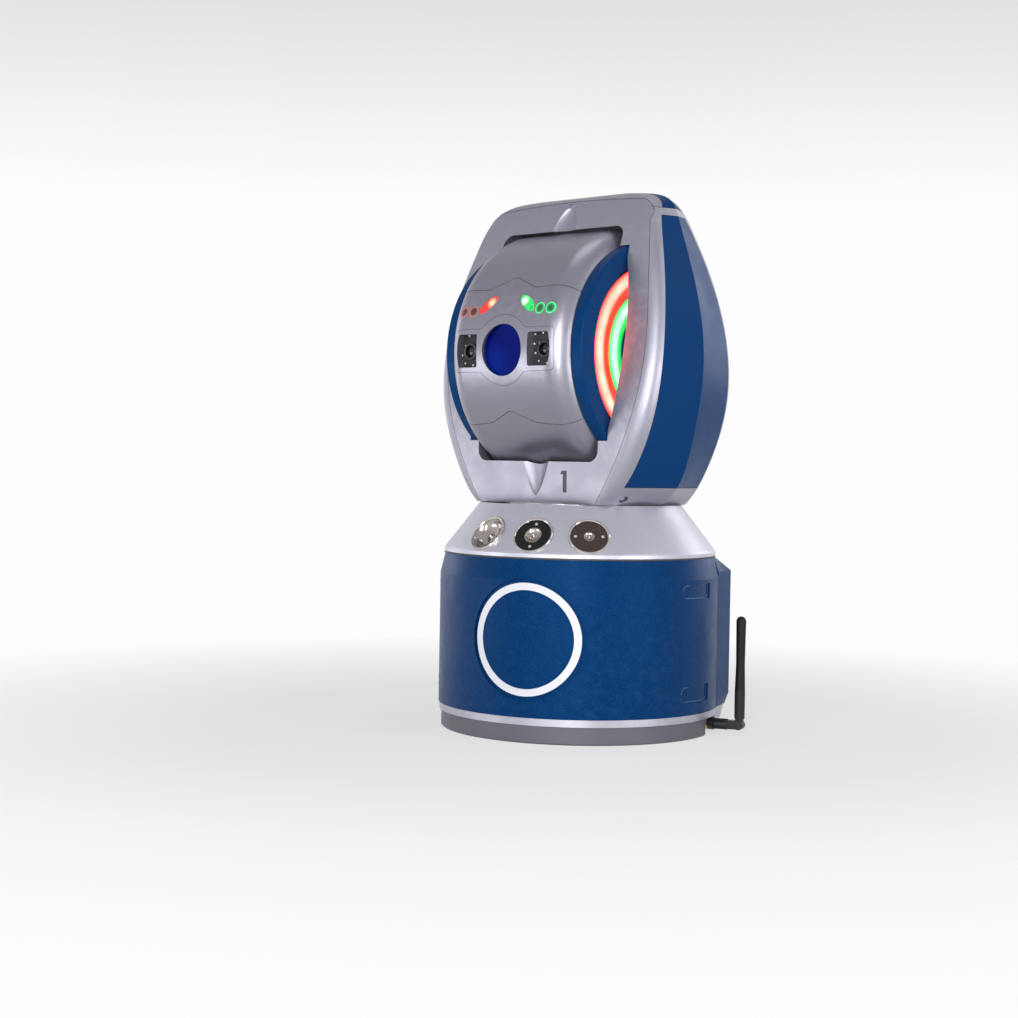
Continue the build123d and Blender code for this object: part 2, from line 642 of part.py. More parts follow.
def make_azimuth_drive():
    lower_top = LOWER_RACE_Z + RACE_H
    add("azimuth_outer_races", outer_race(LOWER_RACE_Z), outer_race(UPPER_RACE_Z))
    stator_out = RACE_OUTER_R - 2 - FIT
    add("azimuth_stator", tube_z(SHAFT_R + 6.6, stator_out, lower_top + 5, UPPER_RACE_Z - 6))
    add("azimuth_rotor", in_head(tube_z(SHAFT_R + FIT, SHAFT_R + 6.2, lower_top + 7,
                                        UPPER_RACE_Z - 8)))
    add("azimuth_inner_races", inner_race(LOWER_RACE_Z), inner_race(UPPER_RACE_Z))
    flange_z = COLUMN_TOP_Z + 2
    head_z = CONE_TOP_Z + HEAD_GAP
    add("azimuth_shaft", revolve_z([
        (SHAFT_BORE, SHAFT_FOOT_Z), (SHAFT_R, SHAFT_FOOT_Z), (SHAFT_R, flange_z - 4),
        (SHAFT_R + 4, flange_z - 3), (SHAFT_R + 4, flange_z), (60, flange_z), (60, head_z),
        (SHAFT_BORE, head_z)]))
    disc_z = SHAFT_FOOT_Z - 2.5
    add("azimuth_encoder_disc", tube_z(20, 48, disc_z, SHAFT_FOOT_Z))
    heads = []
    for x in (-1, 1):
        wedge = block(min(x * 38, x * 60), max(x * 38, x * 60), -8, 8, disc_z - 13, disc_z - 0.9)
        heads.append(wedge & tube_z(38, COLUMN_BORE - FIT, disc_z - 13, disc_z - 0.9))
    add("azimuth_read_heads", *heads)
    floor_z = tray_top + 10
    rotor = rod_z(9, floor_z + 6, disc_z - 3) + rod_z(27, disc_z - 3, disc_z)
    add("slip_ring_rotor", rotor)
    add("slip_ring_housing", revolve_z([
        (9.4, floor_z), (26, floor_z), (26, floor_z + 3), (18, floor_z + 3), (18, floor_z + 25),
        (9.4, floor_z + 25)]))


def make_electronics():
    z0 = tray_top + 6
    front = -(COVER_R - BOARD_IN)
    back = front + BOARD_T
    board = block(-BOARD_HALF_W, BOARD_HALF_W, front, back, z0, z0 + BOARD_H)
    for x, z, w, h in BOARD_CHIPS:
        board += block(x - w / 2, x + w / 2, back, back + 3, z0 + z - h / 2, z0 + z + h / 2)
    add("controller_board", board)
    screws = []
    for k in range(6):
        a = radians(60 * k + 30)
        x = FOOT_SCREW_RING * sin(a)
        y = -FOOT_SCREW_RING * cos(a)
        screws.append(rod_z(3.0, 0.6, 4.0, x, y))
        nodes["foot_ring"] = nodes["foot_ring"] - rod_z(3.0 + FIT, 0, 4.0, x, y)
    add("foot_screws", *screws)


def make_antenna():
    """Screw-on radio antenna: jack on the base, nut and elbow, folding whip."""
    along = Pos(ANT_JACK_X, ANT_Y, ANT_Z) * Rot(0, 90, 0)
    jack = along * Pos(0, 0, -14) * extrude(Circle(ANT_JACK_R - FIT), 14)
    jack += along * Pos(0, 0, -4.0) * extrude(RegularPolygon(4.3, 6), 2.0)
    nut = along * Pos(0, 0, -1.8) * extrude(Circle(ANT_NUT_R), ANT_NUT_LEN)
    nut -= along * Pos(0, 0, -1.8) * extrude(Circle(ANT_JACK_R), 4.2)
    nut -= along * Pos(0, 0, -1.8) * extrude(Circle(2.3), ANT_NUT_LEN)
    add("antenna_jack", jack, nut)
    nut_end = ANT_NUT_LEN - 1.8
    barrel = along * Pos(0, 0, nut_end + RUN) * extrude(Circle(4.2), 10.4)
    barrel += along * Pos(0, 0, 0.6) * extrude(Circle(2.3 - FIT), nut_end)
    fork_x = ANT_ELBOW_X - ANT_R - RUN
    neck = block(ANT_JACK_X + 15, fork_x, ANT_Y - 3.9, ANT_Y + 3.9, ANT_Z - 3.2, ANT_Z + 3.2)
    ears = neck
    for side in (-1, 1):
        ear = Pos(ANT_ELBOW_X, ANT_Y + side * 3.2, ANT_Z) * Rot(90, 0, 0)
        plate = ear * Pos(0, 0, -0.7) * extrude(Circle(3.6), 1.4)
        arm = block(fork_x - 2, ANT_ELBOW_X, ANT_Y + side * 3.2 - 0.7, ANT_Y + side * 3.2 + 0.7,
                    ANT_Z - 3.2, ANT_Z + 3.2)
        ears += plate + arm
    pin = Pos(ANT_ELBOW_X, ANT_Y + 3.9, ANT_Z) * Rot(90, 0, 0) * extrude(Circle(1.2), 7.8)
    add("antenna_elbow", barrel + ears + pin)
    waist_r = ANT_R - 0.6
    tip_r = ANT_R - 0.2
    profile = make_face([
        Line((0, 0), (ANT_R, 0)),
        Line((ANT_R, 0), (ANT_R, 20)),
        Line((ANT_R, 20), (waist_r, 42)),
        Line((waist_r, 42), (tip_r, WHIP_LEN - tip_r)),
        ThreePointArc((tip_r, WHIP_LEN - tip_r),
                      (tip_r * sin(pi / 4), WHIP_LEN - tip_r * (1 - sin(pi / 4))), (0, WHIP_LEN)),
        Line((0, WHIP_LEN), (0, 0)),
    ])
    whip = Pos(ANT_ELBOW_X, ANT_Y, WHIP_TOP_Z - WHIP_LEN) * revolve(Plane.XZ * profile, Axis.Z)
    root_r = ANT_R - 0.5
    root = Pos(ANT_ELBOW_X, ANT_Y + 2.2, ANT_Z) * Rot(90, 0, 0) * extrude(Circle(root_r), 4.4)
    stem = block(ANT_ELBOW_X - root_r + 0.6, ANT_ELBOW_X + root_r - 0.6, ANT_Y - 2.2, ANT_Y + 2.2,
                 ANT_Z, WHIP_TOP_Z - WHIP_LEN + 0.5)
    bore = Pos(ANT_ELBOW_X, ANT_Y + 6, ANT_Z) * Rot(90, 0, 0) * extrude(Circle(1.2 + FIT), 12)
    add("antenna_whip", whip + root + stem - bore)


def make_base():
    make_foot()
    make_tray()
    make_front_cover()
    make_rear_housing()
    make_ports()
    make_door()
    make_battery_bay()
    make_shoulder()
    make_column()
    make_azimuth_drive()
    make_electronics()
    make_antenna()


# Head

def section_row(z):
    """Row of the head's section table at any height, by straight interpolation."""
    rows = HEAD_SECTIONS
    for low, high in zip(rows, rows[1:]):
        if z <= high[0]:
            break
    t = (z - low[0]) / (high[0] - low[0])
    return tuple(a + (b - a) * t for a, b in zip(low, high))


def corner_mid(xf, yf, xe, ye, xr):
    """Middle of the rounded corner between a face and a side."""
    chord = atan2(yf - ye, xe - xf)
    side = atan2(ye, xr - xe)
    turn = min(2 * chord, 2 * (side - chord))
    length = hypot(xe - xf, yf - ye)
    bulge = length / 2 * sin(turn / 4) / cos(turn / 4)
    return ((xf + xe) / 2 + bulge * sin(chord), (yf + ye) / 2 + bulge * cos(chord))


def head_section(row):
    z, xf, yf, xe, ye, xr = row
    mx, my = corner_mid(xf, yf, xe, ye, xr)
    quarter = [ThreePointArc((xf, -yf), (mx, -my), (xe, -ye)), Line((xe, -ye), (xr, 0))]
    quarter += [Line((xr, 0), (xe, ye)), ThreePointArc((xe, ye), (mx, my), (xf, yf))]
    left = [ThreePointArc((-xf, yf), (-mx, my), (-xe, ye)), Line((-xe, ye), (-xr, 0))]
    left += [Line((-xr, 0), (-xe, -ye)), ThreePointArc((-xe, -ye), (-mx, -my), (-xf, -yf))]
    edges = [Line((-xf, -yf), (xf, -yf))] + quarter + [Line((xf, yf), (-xf, yf))] + left
    return Pos(0, 0, z) * make_face(edges)


def face_outline(grow):
    """Seam of the front face panel in (x, z)."""
    side = [(row[1] + grow, row[0]) for row in HEAD_SECTIONS if row[0] < 380]
    side.append((FACE_CORNER_X + grow, FACE_CORNER_Z))
    top_x = FACE_CORNER_X - FACE_CORNER_R + 1
    top_z = FACE_TOP_Z - 3.6 + grow
    bend = (FACE_CORNER_X - 2.6 + grow * 0.7, FACE_CORNER_Z + 11.4 + grow * 0.7)
    edges = [
        Spline(side),
        ThreePointArc(side[-1], bend, (top_x, top_z)),
        ThreePointArc((top_x, top_z), (0, FACE_TOP_Z + grow), (-top_x, top_z)),
        ThreePointArc((-top_x, top_z), (-bend[0], bend[1]), (-side[-1][0], side[-1][1])),
        Spline([(-x, z) for x, z in reversed(side)]),
        Line((-side[0][0], side[0][1]), side[0]),
    ]
    return make_face(edges)


def face_region(grow):
    """Everything in front of the back of the front face panel, inside its seam."""
    rows = HEAD_SECTIONS + CAP_SECTIONS[1:4]
    back = [(-(row[2] - FACE_T), row[0]) for row in rows]
    far = -140.0
    edges = [Spline(back), Line(back[-1], (far, back[-1][1])), Line((far, back[-1][1]),
             (far, back[0][1])), Line((far, back[0][1]), back[0])]
    depth = prism_x(make_face(edges), -130, 130)
    return prism_y(face_outline(grow), -140, 20) & depth


def side_region(grow, depth):
    """The right side panel's space: outside its inner face, inside its seam."""
    heights = [SIDE_LOW_Z - grow] + [row[0] for row in HEAD_SECTIONS
                                     if SIDE_LOW_Z < row[0] < SIDE_HIGH_Z] + [SIDE_HIGH_Z + grow]
    faces = []
    for z in heights:
        row = section_row(max(z, HEAD_SECTIONS[0][0]))
        xe, ye, xr = row[3], row[4] + grow, row[5]
        faces.append(Pos(0, 0, z) * polygon([(150, -ye), (xe - depth, -ye), (xr - depth, 0),
                                             (xe - depth, ye), (150, ye)]))
    return loft(faces)


def cavity():
    """Space the drum turns in: a drum-shaped bore with barrelled side walls."""
    z0 = AXIS_Z - cavity_r - 1
    z1 = AXIS_Z + cavity_r + 1
    w0, w1 = WINDOW_HALF - 7.5, WINDOW_HALF - 11.0
    edges = [
        ThreePointArc((w0, z0), (WINDOW_HALF, AXIS_Z - 6), (w1, z1)),
        Line((w1, z1), (-w1, z1)),
        ThreePointArc((-w1, z1), (-WINDOW_HALF, AXIS_Z - 6), (-w0, z0)),
        Line((-w0, z0), (w0, z0)),
    ]
    return prism_y(make_face(edges), -100, 100) & tube_x(0, cavity_r, -90, 90)


def face_opening():
    """Opening in a face panel: narrow over the shells, wider where the discs show."""
    z0, z1 = OPENING_Z
    x, c = OPENING_HALF, OPENING_CORNER
    middle = prism_y(Pos(0, (z0 + z1) / 2) * RectangleRounded(2 * x, z1 - z0, c), -100, 0)
    low, high = SIDE_OPENING_Z
    end, bulge = SIDE_OPENING_HALF
    mid = (low + high) / 2
    edges = [
        ThreePointArc((end, low), (bulge, mid), (end, high)),
        Line((end, high), (-end, high)),
        ThreePointArc((-end, high), (-bulge, mid), (-end, low)),
        Line((-end, low), (end, low)),
    ]
    front_half = block(-90, 90, -100, 0, AXIS_Z - 110, AXIS_Z + 110)
    disc_reach = DISC_FACE_X + DISC_GAP
    turning = drum_solid(DRUM_GAP) + tube_x(0, DISC_R + DISC_GAP, -disc_reach, disc_reach)
    return middle + prism_y(make_face(edges), -100, 0) + (turning & front_half)


def beam_relief(apex, mouth, width, depth):
    """Rounded scoop in the face that clears the beam past the drum."""
    half = width / 2
    radius = (half * half + depth * depth) / (2 * depth)
    along = Vector(*mouth) - Vector(*apex)
    up = 1 if along.Z > 0 else -1
    out = Vector(0, -abs(along.Z), up * along.Y).normalized()
    axis = Vector(*mouth) + out * (radius - depth) - Vector(*apex)
    steps = (0.02, 0.08, 0.2, 0.4, 0.7, 1.0, 1.4)
    curve = [(radius * t ** RELIEF_BULGE, axis.length * t) for t in steps]
    edges = [Line((0, 0), curve[0]), Spline(curve), Line(curve[-1], (0, curve[-1][1])),
             Line((0, curve[-1][1]), (0, 0))]
    scoop = revolve(Plane.XZ * make_face(edges), Axis.Z)
    return Plane(origin=Vector(*apex), z_dir=axis) * scoop


def head_outer():
    body = loft([head_section(row) for row in HEAD_SECTIONS])
    crown = loft([head_section(row) for row in CAP_SECTIONS])
    return body, crown


def rear_of(solid):
    """The same piece on the other face of the head."""
    return Rot(0, 0, 180) * solid


def make_head():
    body, crown = head_outer()
    whole = body + crown
    reliefs = [beam_relief(*relief) for relief in (TOP_RELIEF, LOW_RELIEF)]
    tip_y, tip_z = TOP_RELIEF[0][1:]
    notch = block(-NOTCH_HALF, NOTCH_HALF, -30, tip_y + 2.5, tip_z - 1.5, tip_z + 1.8)
    panel = whole & face_region(-SEAM / 2)
    panel -= face_opening()
    for relief in reliefs:
        panel -= relief
    panel -= notch
    add("front_face_panel", in_head(panel))
    add("rear_face_panel", in_head(rear_of(panel)))

    hollow = cavity()
    space = face_region(SEAM / 2)
    right_space = side_region(SEAM / 2, SIDE_T + RUN)
    left_space = rear_of(right_space)
    yoke = body - hollow - space - rear_of(space) - right_space - left_space
    pocket_side = list(PILLAR_POCKET)
    pocket_face = polygon(pocket_side + [(-y, z) for y, z in reversed(pocket_side)])
    for side in (-1, 1):
        pocket = prism_x(pocket_face, POCKET_FLOOR_X, 150)
        bore = tube_x(0, AXLE_RACE_R + FIT, AXLE_RACE_X, 100)
        eye = tube_x(0, TRUNNION_R + 4, WINDOW_HALF - 5, AXLE_RACE_X)
        ring = tube_x(AXLE_RACE_R + FIT, AXLE_RACE_R + 7, POCKET_FLOOR_X - 1, BOSS_X)
        if side < 0:
            pocket, bore, eye, ring = [rear_of(s) for s in (pocket, bore, eye, ring)]
        yoke = yoke - pocket + ring - bore - eye
    yoke -= rod_z(18, HEAD_SECTIONS[0][0] - 1, AXIS_Z)
    trim = block(-150, 150, -150, 150, HEAD_CUT_Z - SEAM * 0.4, HEAD_TOP_Z + 5)
    plug = skirt_plug_frame()
    plug_hole = plug * Pos(0, 0, -PORT_DEEP) * extrude(Circle(PORT_R), PORT_DEEP + 8)
    yoke = yoke - trim - plug_hole - rear_of(plug_hole)
    for relief in reliefs:
        yoke = yoke - relief - rear_of(relief)
    add("yoke_frame", in_head(yoke))

    side_panel = (body & side_region(-SEAM / 2, SIDE_T)) - space - rear_of(space)
    add("side_panels", in_head(side_panel), in_head(rear_of(side_panel)))

    def insert_bar(grow):
        z0, z1 = HEAD_CUT_Z - 2, HEAD_TOP_Z + 2
        low, high = 12.4 + grow, 3.4 + grow
        return prism_x(polygon([(-low, z0), (low, z0), (high, z1), (-high, z1)]),
                       INSERT_X - grow, 120)

    skin = crown - Pos(-3, 0, -3) * crown
    above = block(-150, 150, -150, 150, HEAD_CUT_Z + SEAM * 0.4, HEAD_TOP_Z + 5)
    insert_space = skin & insert_bar(SEAM / 2)
    cap = (crown & above) - space - rear_of(space) - insert_space - rear_of(insert_space)
    add("top_cap", in_head(cap))
    insert = (skin & insert_bar(-SEAM / 2) & above) - space - rear_of(space)
    add("cap_inserts", in_head(insert), in_head(rear_of(insert)))
    make_axle_drive()


def skirt_plug_frame():
    return Plane(origin=PORT_PLACE, z_dir=PORT_OUT)


def make_axle_drive():
    """Elevation bearings, motor, encoder and their boards in the two pillars."""
    x0, x1 = AXLE_RACE_X, AXLE_RACE_X + AXLE_RACE_W
    shield = JOURNAL_R + 4.6
    profile = [(x0, shield), (x0, AXLE_RACE_R), (x1, AXLE_RACE_R), (x1, shield), (x1 - 1, shield),
               (x1 - 1, AXLE_RACE_R - 4), (x0 + 1, AXLE_RACE_R - 4), (x0 + 1, shield)]
    add("axle_outer_races", in_head(revolve_x(profile)), in_head(revolve_x(mirror_x(profile))))
    add("axle_inner_races", in_head(tube_x(JOURNAL_R + FIT, JOURNAL_R + 4.2, x0, x1)),
        in_head(tube_x(JOURNAL_R + FIT, JOURNAL_R + 4.2, -x1, -x0)))
    add("axle_stator", in_head(tube_x(JOURNAL_R + 8.5, AXLE_RACE_R + 5, BOSS_X, BOSS_X + 11)))
    add("axle_rotor", in_head(tube_x(JOURNAL_R + FIT, JOURNAL_R + 8, BOSS_X + 1, BOSS_X + 11)))
    add("axle_encoder_disc", in_head(tube_x(JOURNAL_R + FIT, 30, -BOSS_X - 3.5, -BOSS_X - 1.5)))
    reader = block(-BOSS_X - 9, -POCKET_FLOOR_X, -8, 8, AXIS_Z + AXLE_RACE_R + 7.3, AXIS_Z + 42)
    reader += block(-BOSS_X - 9, -BOSS_X - 4.3, -8, 8, AXIS_Z + 21, AXIS_Z + AXLE_RACE_R + 8)
    board = block(POCKET_FLOOR_X, POCKET_FLOOR_X + 1.6, -28, 28, 235, 256)
    for y, w in ((-18, 10), (2, 16), (20, 8)):
        board += block(POCKET_FLOOR_X + 1.6, POCKET_FLOOR_X + 4.2, y - w / 2, y + w / 2, 239, 251)
    add("pillar_boards", in_head(board), in_head(rear_of(board)), in_head(reader))


# Drum

def drum_outline(offset):
    """Half section of the drum in (x, radius): flat middle, big rounded shoulders."""
    r = DRUM_R + offset
    rim = DRUM_RIM_R + offset
    drop = DRUM_R - DRUM_RIM_R
    run = DRUM_HALF - DRUM_FLAT_HALF
    arc_r = (run * run + drop * drop) / (2 * drop)
    half = atan2(drop, run)
    mid = (DRUM_FLAT_HALF + arc_r * sin(half), r - arc_r * (1 - cos(half)))
    return r, rim, mid


def drum_solid(offset):
    r, rim, mid = drum_outline(offset)
    f, h = DRUM_FLAT_HALF, DRUM_HALF
    edges = [
        Line((-h, 0), (-h, rim)),
        ThreePointArc((-h, rim), (-mid[0], mid[1]), (-f, r)),
        Line((-f, r), (f, r)),
        ThreePointArc((f, r), mid, (h, rim)),
        Line((h, rim), (h, 0)),
        Line((h, 0), (-h, 0)),
    ]
    return Pos(0, 0, AXIS_Z) * revolve(Plane.XZ * make_face(edges), Axis.X)


def drum_inside():
    """Inside of the shells: a straight-sided copy of the outline, one wall smaller."""
    r, rim, mid = drum_outline(-DRUM_WALL)
    h = DRUM_HALF
    right = [(DRUM_FLAT_HALF, r), mid, (h - DRUM_WALL, rim + 3), (h + 1, rim - 0.6)]
    return revolve_x([(-h - 1, 0)] + mirror_x(right) + right + [(h + 1, 0)])


def drum_frame(angle):
    """Plane on the axis, facing out of the drum at an elevation: x across, y upward."""
    a = radians(angle)
    return Plane(origin=(0, 0, AXIS_Z), x_dir=(1, 0, 0), z_dir=(0, -cos(a), sin(a)))


def seam_line(angles, shift):
    """Chevron seam across the drum, in its own frame, moved up by shift."""
    mid, kink, rim = angles
    peak = DRUM_R * sin(radians(mid - kink)) + shift
    edge = DRUM_R * sin(radians(rim - kink)) + shift
    right = [(1.6, peak), (KINK_X - 1.2, shift + 0.5), (KINK_X + 1.4, shift), (DRUM_HALF + 6, edge)]
    return [(-x, t) for x, t in reversed(right)] + right


def front_space(grow):
    """The front shell's share of the drum, between the two seams."""
    below = seam_line(UPPER_SEAM, grow)
    above = seam_line(LOWER_SEAM, -grow)
    far = 200.0
    half = DRUM_HALF + 6
    upper = drum_frame(UPPER_SEAM[1]) * extrude(polygon(below + [(half, -far), (-half, -far)]), 140)
    lower = drum_frame(LOWER_SEAM[1]) * extrude(polygon(above + [(half, far), (-half, far)]), 140)
    return upper & lower


def eye_outline(grow):
    """Outline of the sensor bezel in (x, z): a band with a round bulge."""
    band = Rectangle(2 * (EYE_HALF_W + grow), 2 * (EYE_HALF_H + grow))
    band = fillet(band.vertices(), 3.5)
    shape = band + Circle(EYE_BULGE_R + grow)
    corners = [v for v in shape.vertices()
               if abs(abs(v.Y) - EYE_HALF_H - grow) < 0.01 and abs(v.X) < EYE_BULGE_R]
    return fillet(corners, 7.0)


def pocket_outline(side, grow):
    x0, x1 = POCKET_X
    h = POCKET_HALF_H + grow
    a, b = x0 - grow, x1 + grow
    edges = [
        Line((side * a, -h), (side * a, h)),
        Line((side * a, h), (side * (b - 1.5), h)),
        ThreePointArc((side * (b - 1.5), h), (side * (b + 1), 0), (side * (b - 1.5), -h)),
        Line((side * (b - 1.5), -h), (side * a, -h)),
    ]
    face = make_face(edges)
    return fillet(face.vertices(), 1.6)


def lamp_shapes(side, grow):
    """Leaf and two beads of one status lamp, drawn at LAMP_ANGLE."""
    leaf = Pos(side * 19.6, 1.8) * Rot(0, 0, -side * 40) * Ellipse(9.6 + grow, 4.2 + grow)
    beads = [Pos(side * x, -3.0) * Circle(BEAD_R + grow) for x in BEAD_X]
    return [leaf] + beads


def make_drum():
    shell = drum_solid(0) - drum_inside()
    front = shell & front_space(-SEAM / 2)
    rest = shell - front_space(SEAM / 2)
    upper = rest & block(-DRUM_HALF - 5, DRUM_HALF + 5, -120, 120, AXIS_Z + SEAM / 2, AXIS_Z + 120)
    lower = rest & block(-DRUM_HALF - 5, DRUM_HALF + 5, -120, 120, AXIS_Z - 120, AXIS_Z - SEAM / 2)
    add("drum_upper_shell", in_head(upper))
    add("drum_lower_shell", in_head(lower))

    def front_prism(face, y0, y1):
        return Pos(0, 0, AXIS_Z) * prism_y(face, y0, y1)

    inner_face = drum_solid(-EYE_T)
    for side in (-1, 1):
        wall = front_prism(pocket_outline(side, 2.2), -DRUM_R, POCKET_BACK_Y)
        front += wall & inner_face
    front -= front_prism(eye_outline(0.25), -110, -60) - drum_solid(-EYE_T)
    front -= front_prism(Circle(GLASS_R + 0.2), -110, -60)
    for side in (-1, 1):
        front -= front_prism(pocket_outline(side, 0), -110, -60)
    lamps = {-1: [], 1: []}
    for side in (-1, 1):
        frame = drum_frame(LAMP_ANGLE)
        for hole, lens in zip(lamp_shapes(side, 0.1), lamp_shapes(side, 0)):
            front -= frame * Pos(0, 0, 60) * extrude(hole, 50)
            body = frame * Pos(0, 0, DRUM_R - 9) * extrude(lens, 20)
            lamps[side].append(in_head(body & drum_solid(-0.3)))
    add("drum_front_shell", in_head(front))
    add("status_lamp_left", *lamps[-1])
    add("status_lamp_right", *lamps[1])

    bezel = (drum_solid(0) - drum_solid(-EYE_T)) & front_prism(eye_outline(0), -110, -60)
    bezel -= front_prism(Circle(APERTURE_R), -110, -60)
    for side in (-1, 1):
        bezel -= front_prism(pocket_outline(side, 0), -110, -60)
    add("sensor_bezel", in_head(bezel))
    add("aperture_window", in_head(front_prism(Circle(GLASS_R), GLASS_Y, GLASS_Y + 3)))
    seat_y = GLASS_Y + 3
    seat = front_prism(Circle(GLASS_R), seat_y, TUBE_FRONT_Y) \
        - front_prism(Circle(GLASS_R - 3.2), seat_y, TUBE_FRONT_Y)
    tube = front_prism(Circle(TUBE_R), TUBE_FRONT_Y, TUBE_BACK_Y)
    tube += front_prism(Circle(TUBE_FLANGE_R), TUBE_FRONT_Y, TUBE_FRONT_Y + 3)
    tube = tube + seat - front_prism(Circle(TUBE_R - 4), TUBE_FRONT_Y, 40)
    add("laser_tube", in_head(tube))
    modules, lenses = [], []
    for side in (-1, 1):
        plate = front_prism(pocket_outline(side, 1.0), POCKET_BACK_Y, POCKET_BACK_Y + 2.4)
        plug = front_prism(pocket_outline(side, -0.1), CAMERA_FACE_Y, POCKET_BACK_Y)
        hole = front_prism(Pos(side * LENS_X, 0) * Circle(LENS_R), CAMERA_FACE_Y, CAMERA_FACE_Y + 4)
        modules.append(in_head(plate + plug - hole))
        barrel = front_prism(Pos(side * LENS_X, 0) * Circle(LENS_R - FIT), CAMERA_FACE_Y - 1.6,
                             CAMERA_FACE_Y + 4)
        barrel -= front_prism(Pos(side * LENS_X, 0) * Circle(LENS_R - 1.6), CAMERA_FACE_Y - 1.6,
                              CAMERA_FACE_Y + 1)
        lenses.append(in_head(barrel))
    add("camera_modules", *modules)
    add("camera_lenses", *lenses)
    make_drum_core()


def light_ring(r_in, r_out):
    """Domed ring light standing in the disc's groove, on the right side."""
    low = RING_TOP_X - RING_DOME
    edges = [
        Line((RING_FLOOR_X, r_in), (RING_FLOOR_X, r_out)),
        Line((RING_FLOOR_X, r_out), (low, r_out)),
        ThreePointArc((low, r_out), (RING_TOP_X, (r_in + r_out) / 2), (low, r_in)),
        Line((low, r_in), (RING_FLOOR_X, r_in)),
    ]
    return Pos(0, 0, AXIS_Z) * revolve(Plane.XZ * make_face(edges), Axis.X)


def make_drum_core():
    groove_in, groove_out = GREEN_RING[0] - FIT, RED_RING[1] + FIT
    bore = TRUNNION_R + FIT
    disc = revolve_x([
        (DRUM_HALF, bore), (DRUM_HALF, DISC_R - 1.2), (DRUM_HALF + 1.2, DISC_R),
        (DISC_FACE_X - 1.5, DISC_R), (DISC_FACE_X, DISC_R - 1.5), (DISC_FACE_X, DISC_DISH_R),
        (DISC_DISH_X, DISC_DISH_R - 0.8), (DISC_DISH_X, groove_out), (RING_FLOOR_X, groove_out),
        (RING_FLOOR_X, groove_in), (RING_TOP_X - 1, groove_in), (RING_TOP_X, groove_in - 1),
        (RING_TOP_X, bore)])
    add("drum_discs", in_head(rear_of(disc)), in_head(disc))
    for name, radii in (("ring_lights_outer", RED_RING), ("ring_lights_inner", GREEN_RING)):
        ring = light_ring(*radii)
        add(name, in_head(rear_of(ring)), in_head(ring))
    half = DRUM_HALF
    core = tube_x(CORE_R - 5, CORE_R, -half + 5, half - 5)
    flange = tube_x(CORE_R - 5, 62, half - 5, half)
    core = core + flange + rear_of(flange)
    core -= Pos(0, 0, AXIS_Z) * prism_y(Circle(TUBE_R + FIT), -70, 70)
    trunnion = revolve_x([
        (half - 14, 5), (half - 14, CORE_R - 5 - FIT), (half, CORE_R - 5 - FIT), (half, TRUNNION_R),
        (AXLE_RACE_X, TRUNNION_R), (AXLE_RACE_X, JOURNAL_R), (BOSS_X + 12, JOURNAL_R),
        (BOSS_X + 12, 5)])
    add("drum_core", in_head(core))
    add("trunnions", in_head(rear_of(trunnion)), in_head(trunnion))
    top = AXIS_Z + CORE_R + RUN
    source = block(-15, 15, -32, 36, top, top + 24) + block(-9, 9, 36, 44, top + 6, top + 18)
    meter = Pos(0, 0, AXIS_Z) * prism_y(Circle(17), TUBE_BACK_Y, 72)
    meter += Pos(0, 0, AXIS_Z) * prism_y(Rectangle(26, 22), 72, 82)
    add("laser_modules", in_head(source), in_head(meter))


make_base()
make_head()
make_drum()

os.makedirs("parts", exist_ok=True)
for name, shape in nodes.items():
    export_step(shape, "parts/" + name + ".step")
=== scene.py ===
from math import cos, pi, radians, sin

import bmesh
import bpy
from mathutils import Matrix, Vector
from mathutils.bvhtree import BVHTree


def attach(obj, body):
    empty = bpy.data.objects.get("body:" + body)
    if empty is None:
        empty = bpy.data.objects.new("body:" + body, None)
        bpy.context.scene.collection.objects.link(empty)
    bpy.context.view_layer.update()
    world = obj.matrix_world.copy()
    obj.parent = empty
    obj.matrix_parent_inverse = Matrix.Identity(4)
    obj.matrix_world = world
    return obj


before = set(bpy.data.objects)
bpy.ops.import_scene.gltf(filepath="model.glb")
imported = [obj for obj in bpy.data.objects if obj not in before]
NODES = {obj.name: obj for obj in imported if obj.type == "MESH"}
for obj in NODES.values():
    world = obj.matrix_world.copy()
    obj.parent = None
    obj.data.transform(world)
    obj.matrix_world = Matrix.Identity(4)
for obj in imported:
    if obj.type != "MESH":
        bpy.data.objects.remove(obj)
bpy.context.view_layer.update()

# Sizes and places, in metres. Those of the head and drum are in the frame of the head before
# its turn, with its front towards -Y.
HEAD_TURN = radians(-18.4)
AXIS_Z = 0.2916                 # height of the elevation axis
DRUM_R = 0.0970
WINDOW_Y = -0.0922              # front of the beam window

LAMP_ANGLE = radians(20.0)      # how far the status lamps' face tilts back
LEAF_HOT = (0.0165, 0.0036)     # brightest spot of the leaf-shaped lens on that face
BEAD_X = (0.0333, 0.0433)
BEAD_T = -0.003

EYE_X = 0.0372                  # lens centres of the two cameras
EYE_FACE_Y = -0.0894
EYE_LENS_Y = -0.0886
EYE_LAMPS = ((-10.0, 11.3), (-2.3, 12.0), (-10.5, 4.0), (-5.5, 4.5), (-6.8, -1.4), (-9.4, -2.8),
             (-6.2, -8.8), (2.0, -10.5))    # millimetres from the lens centre

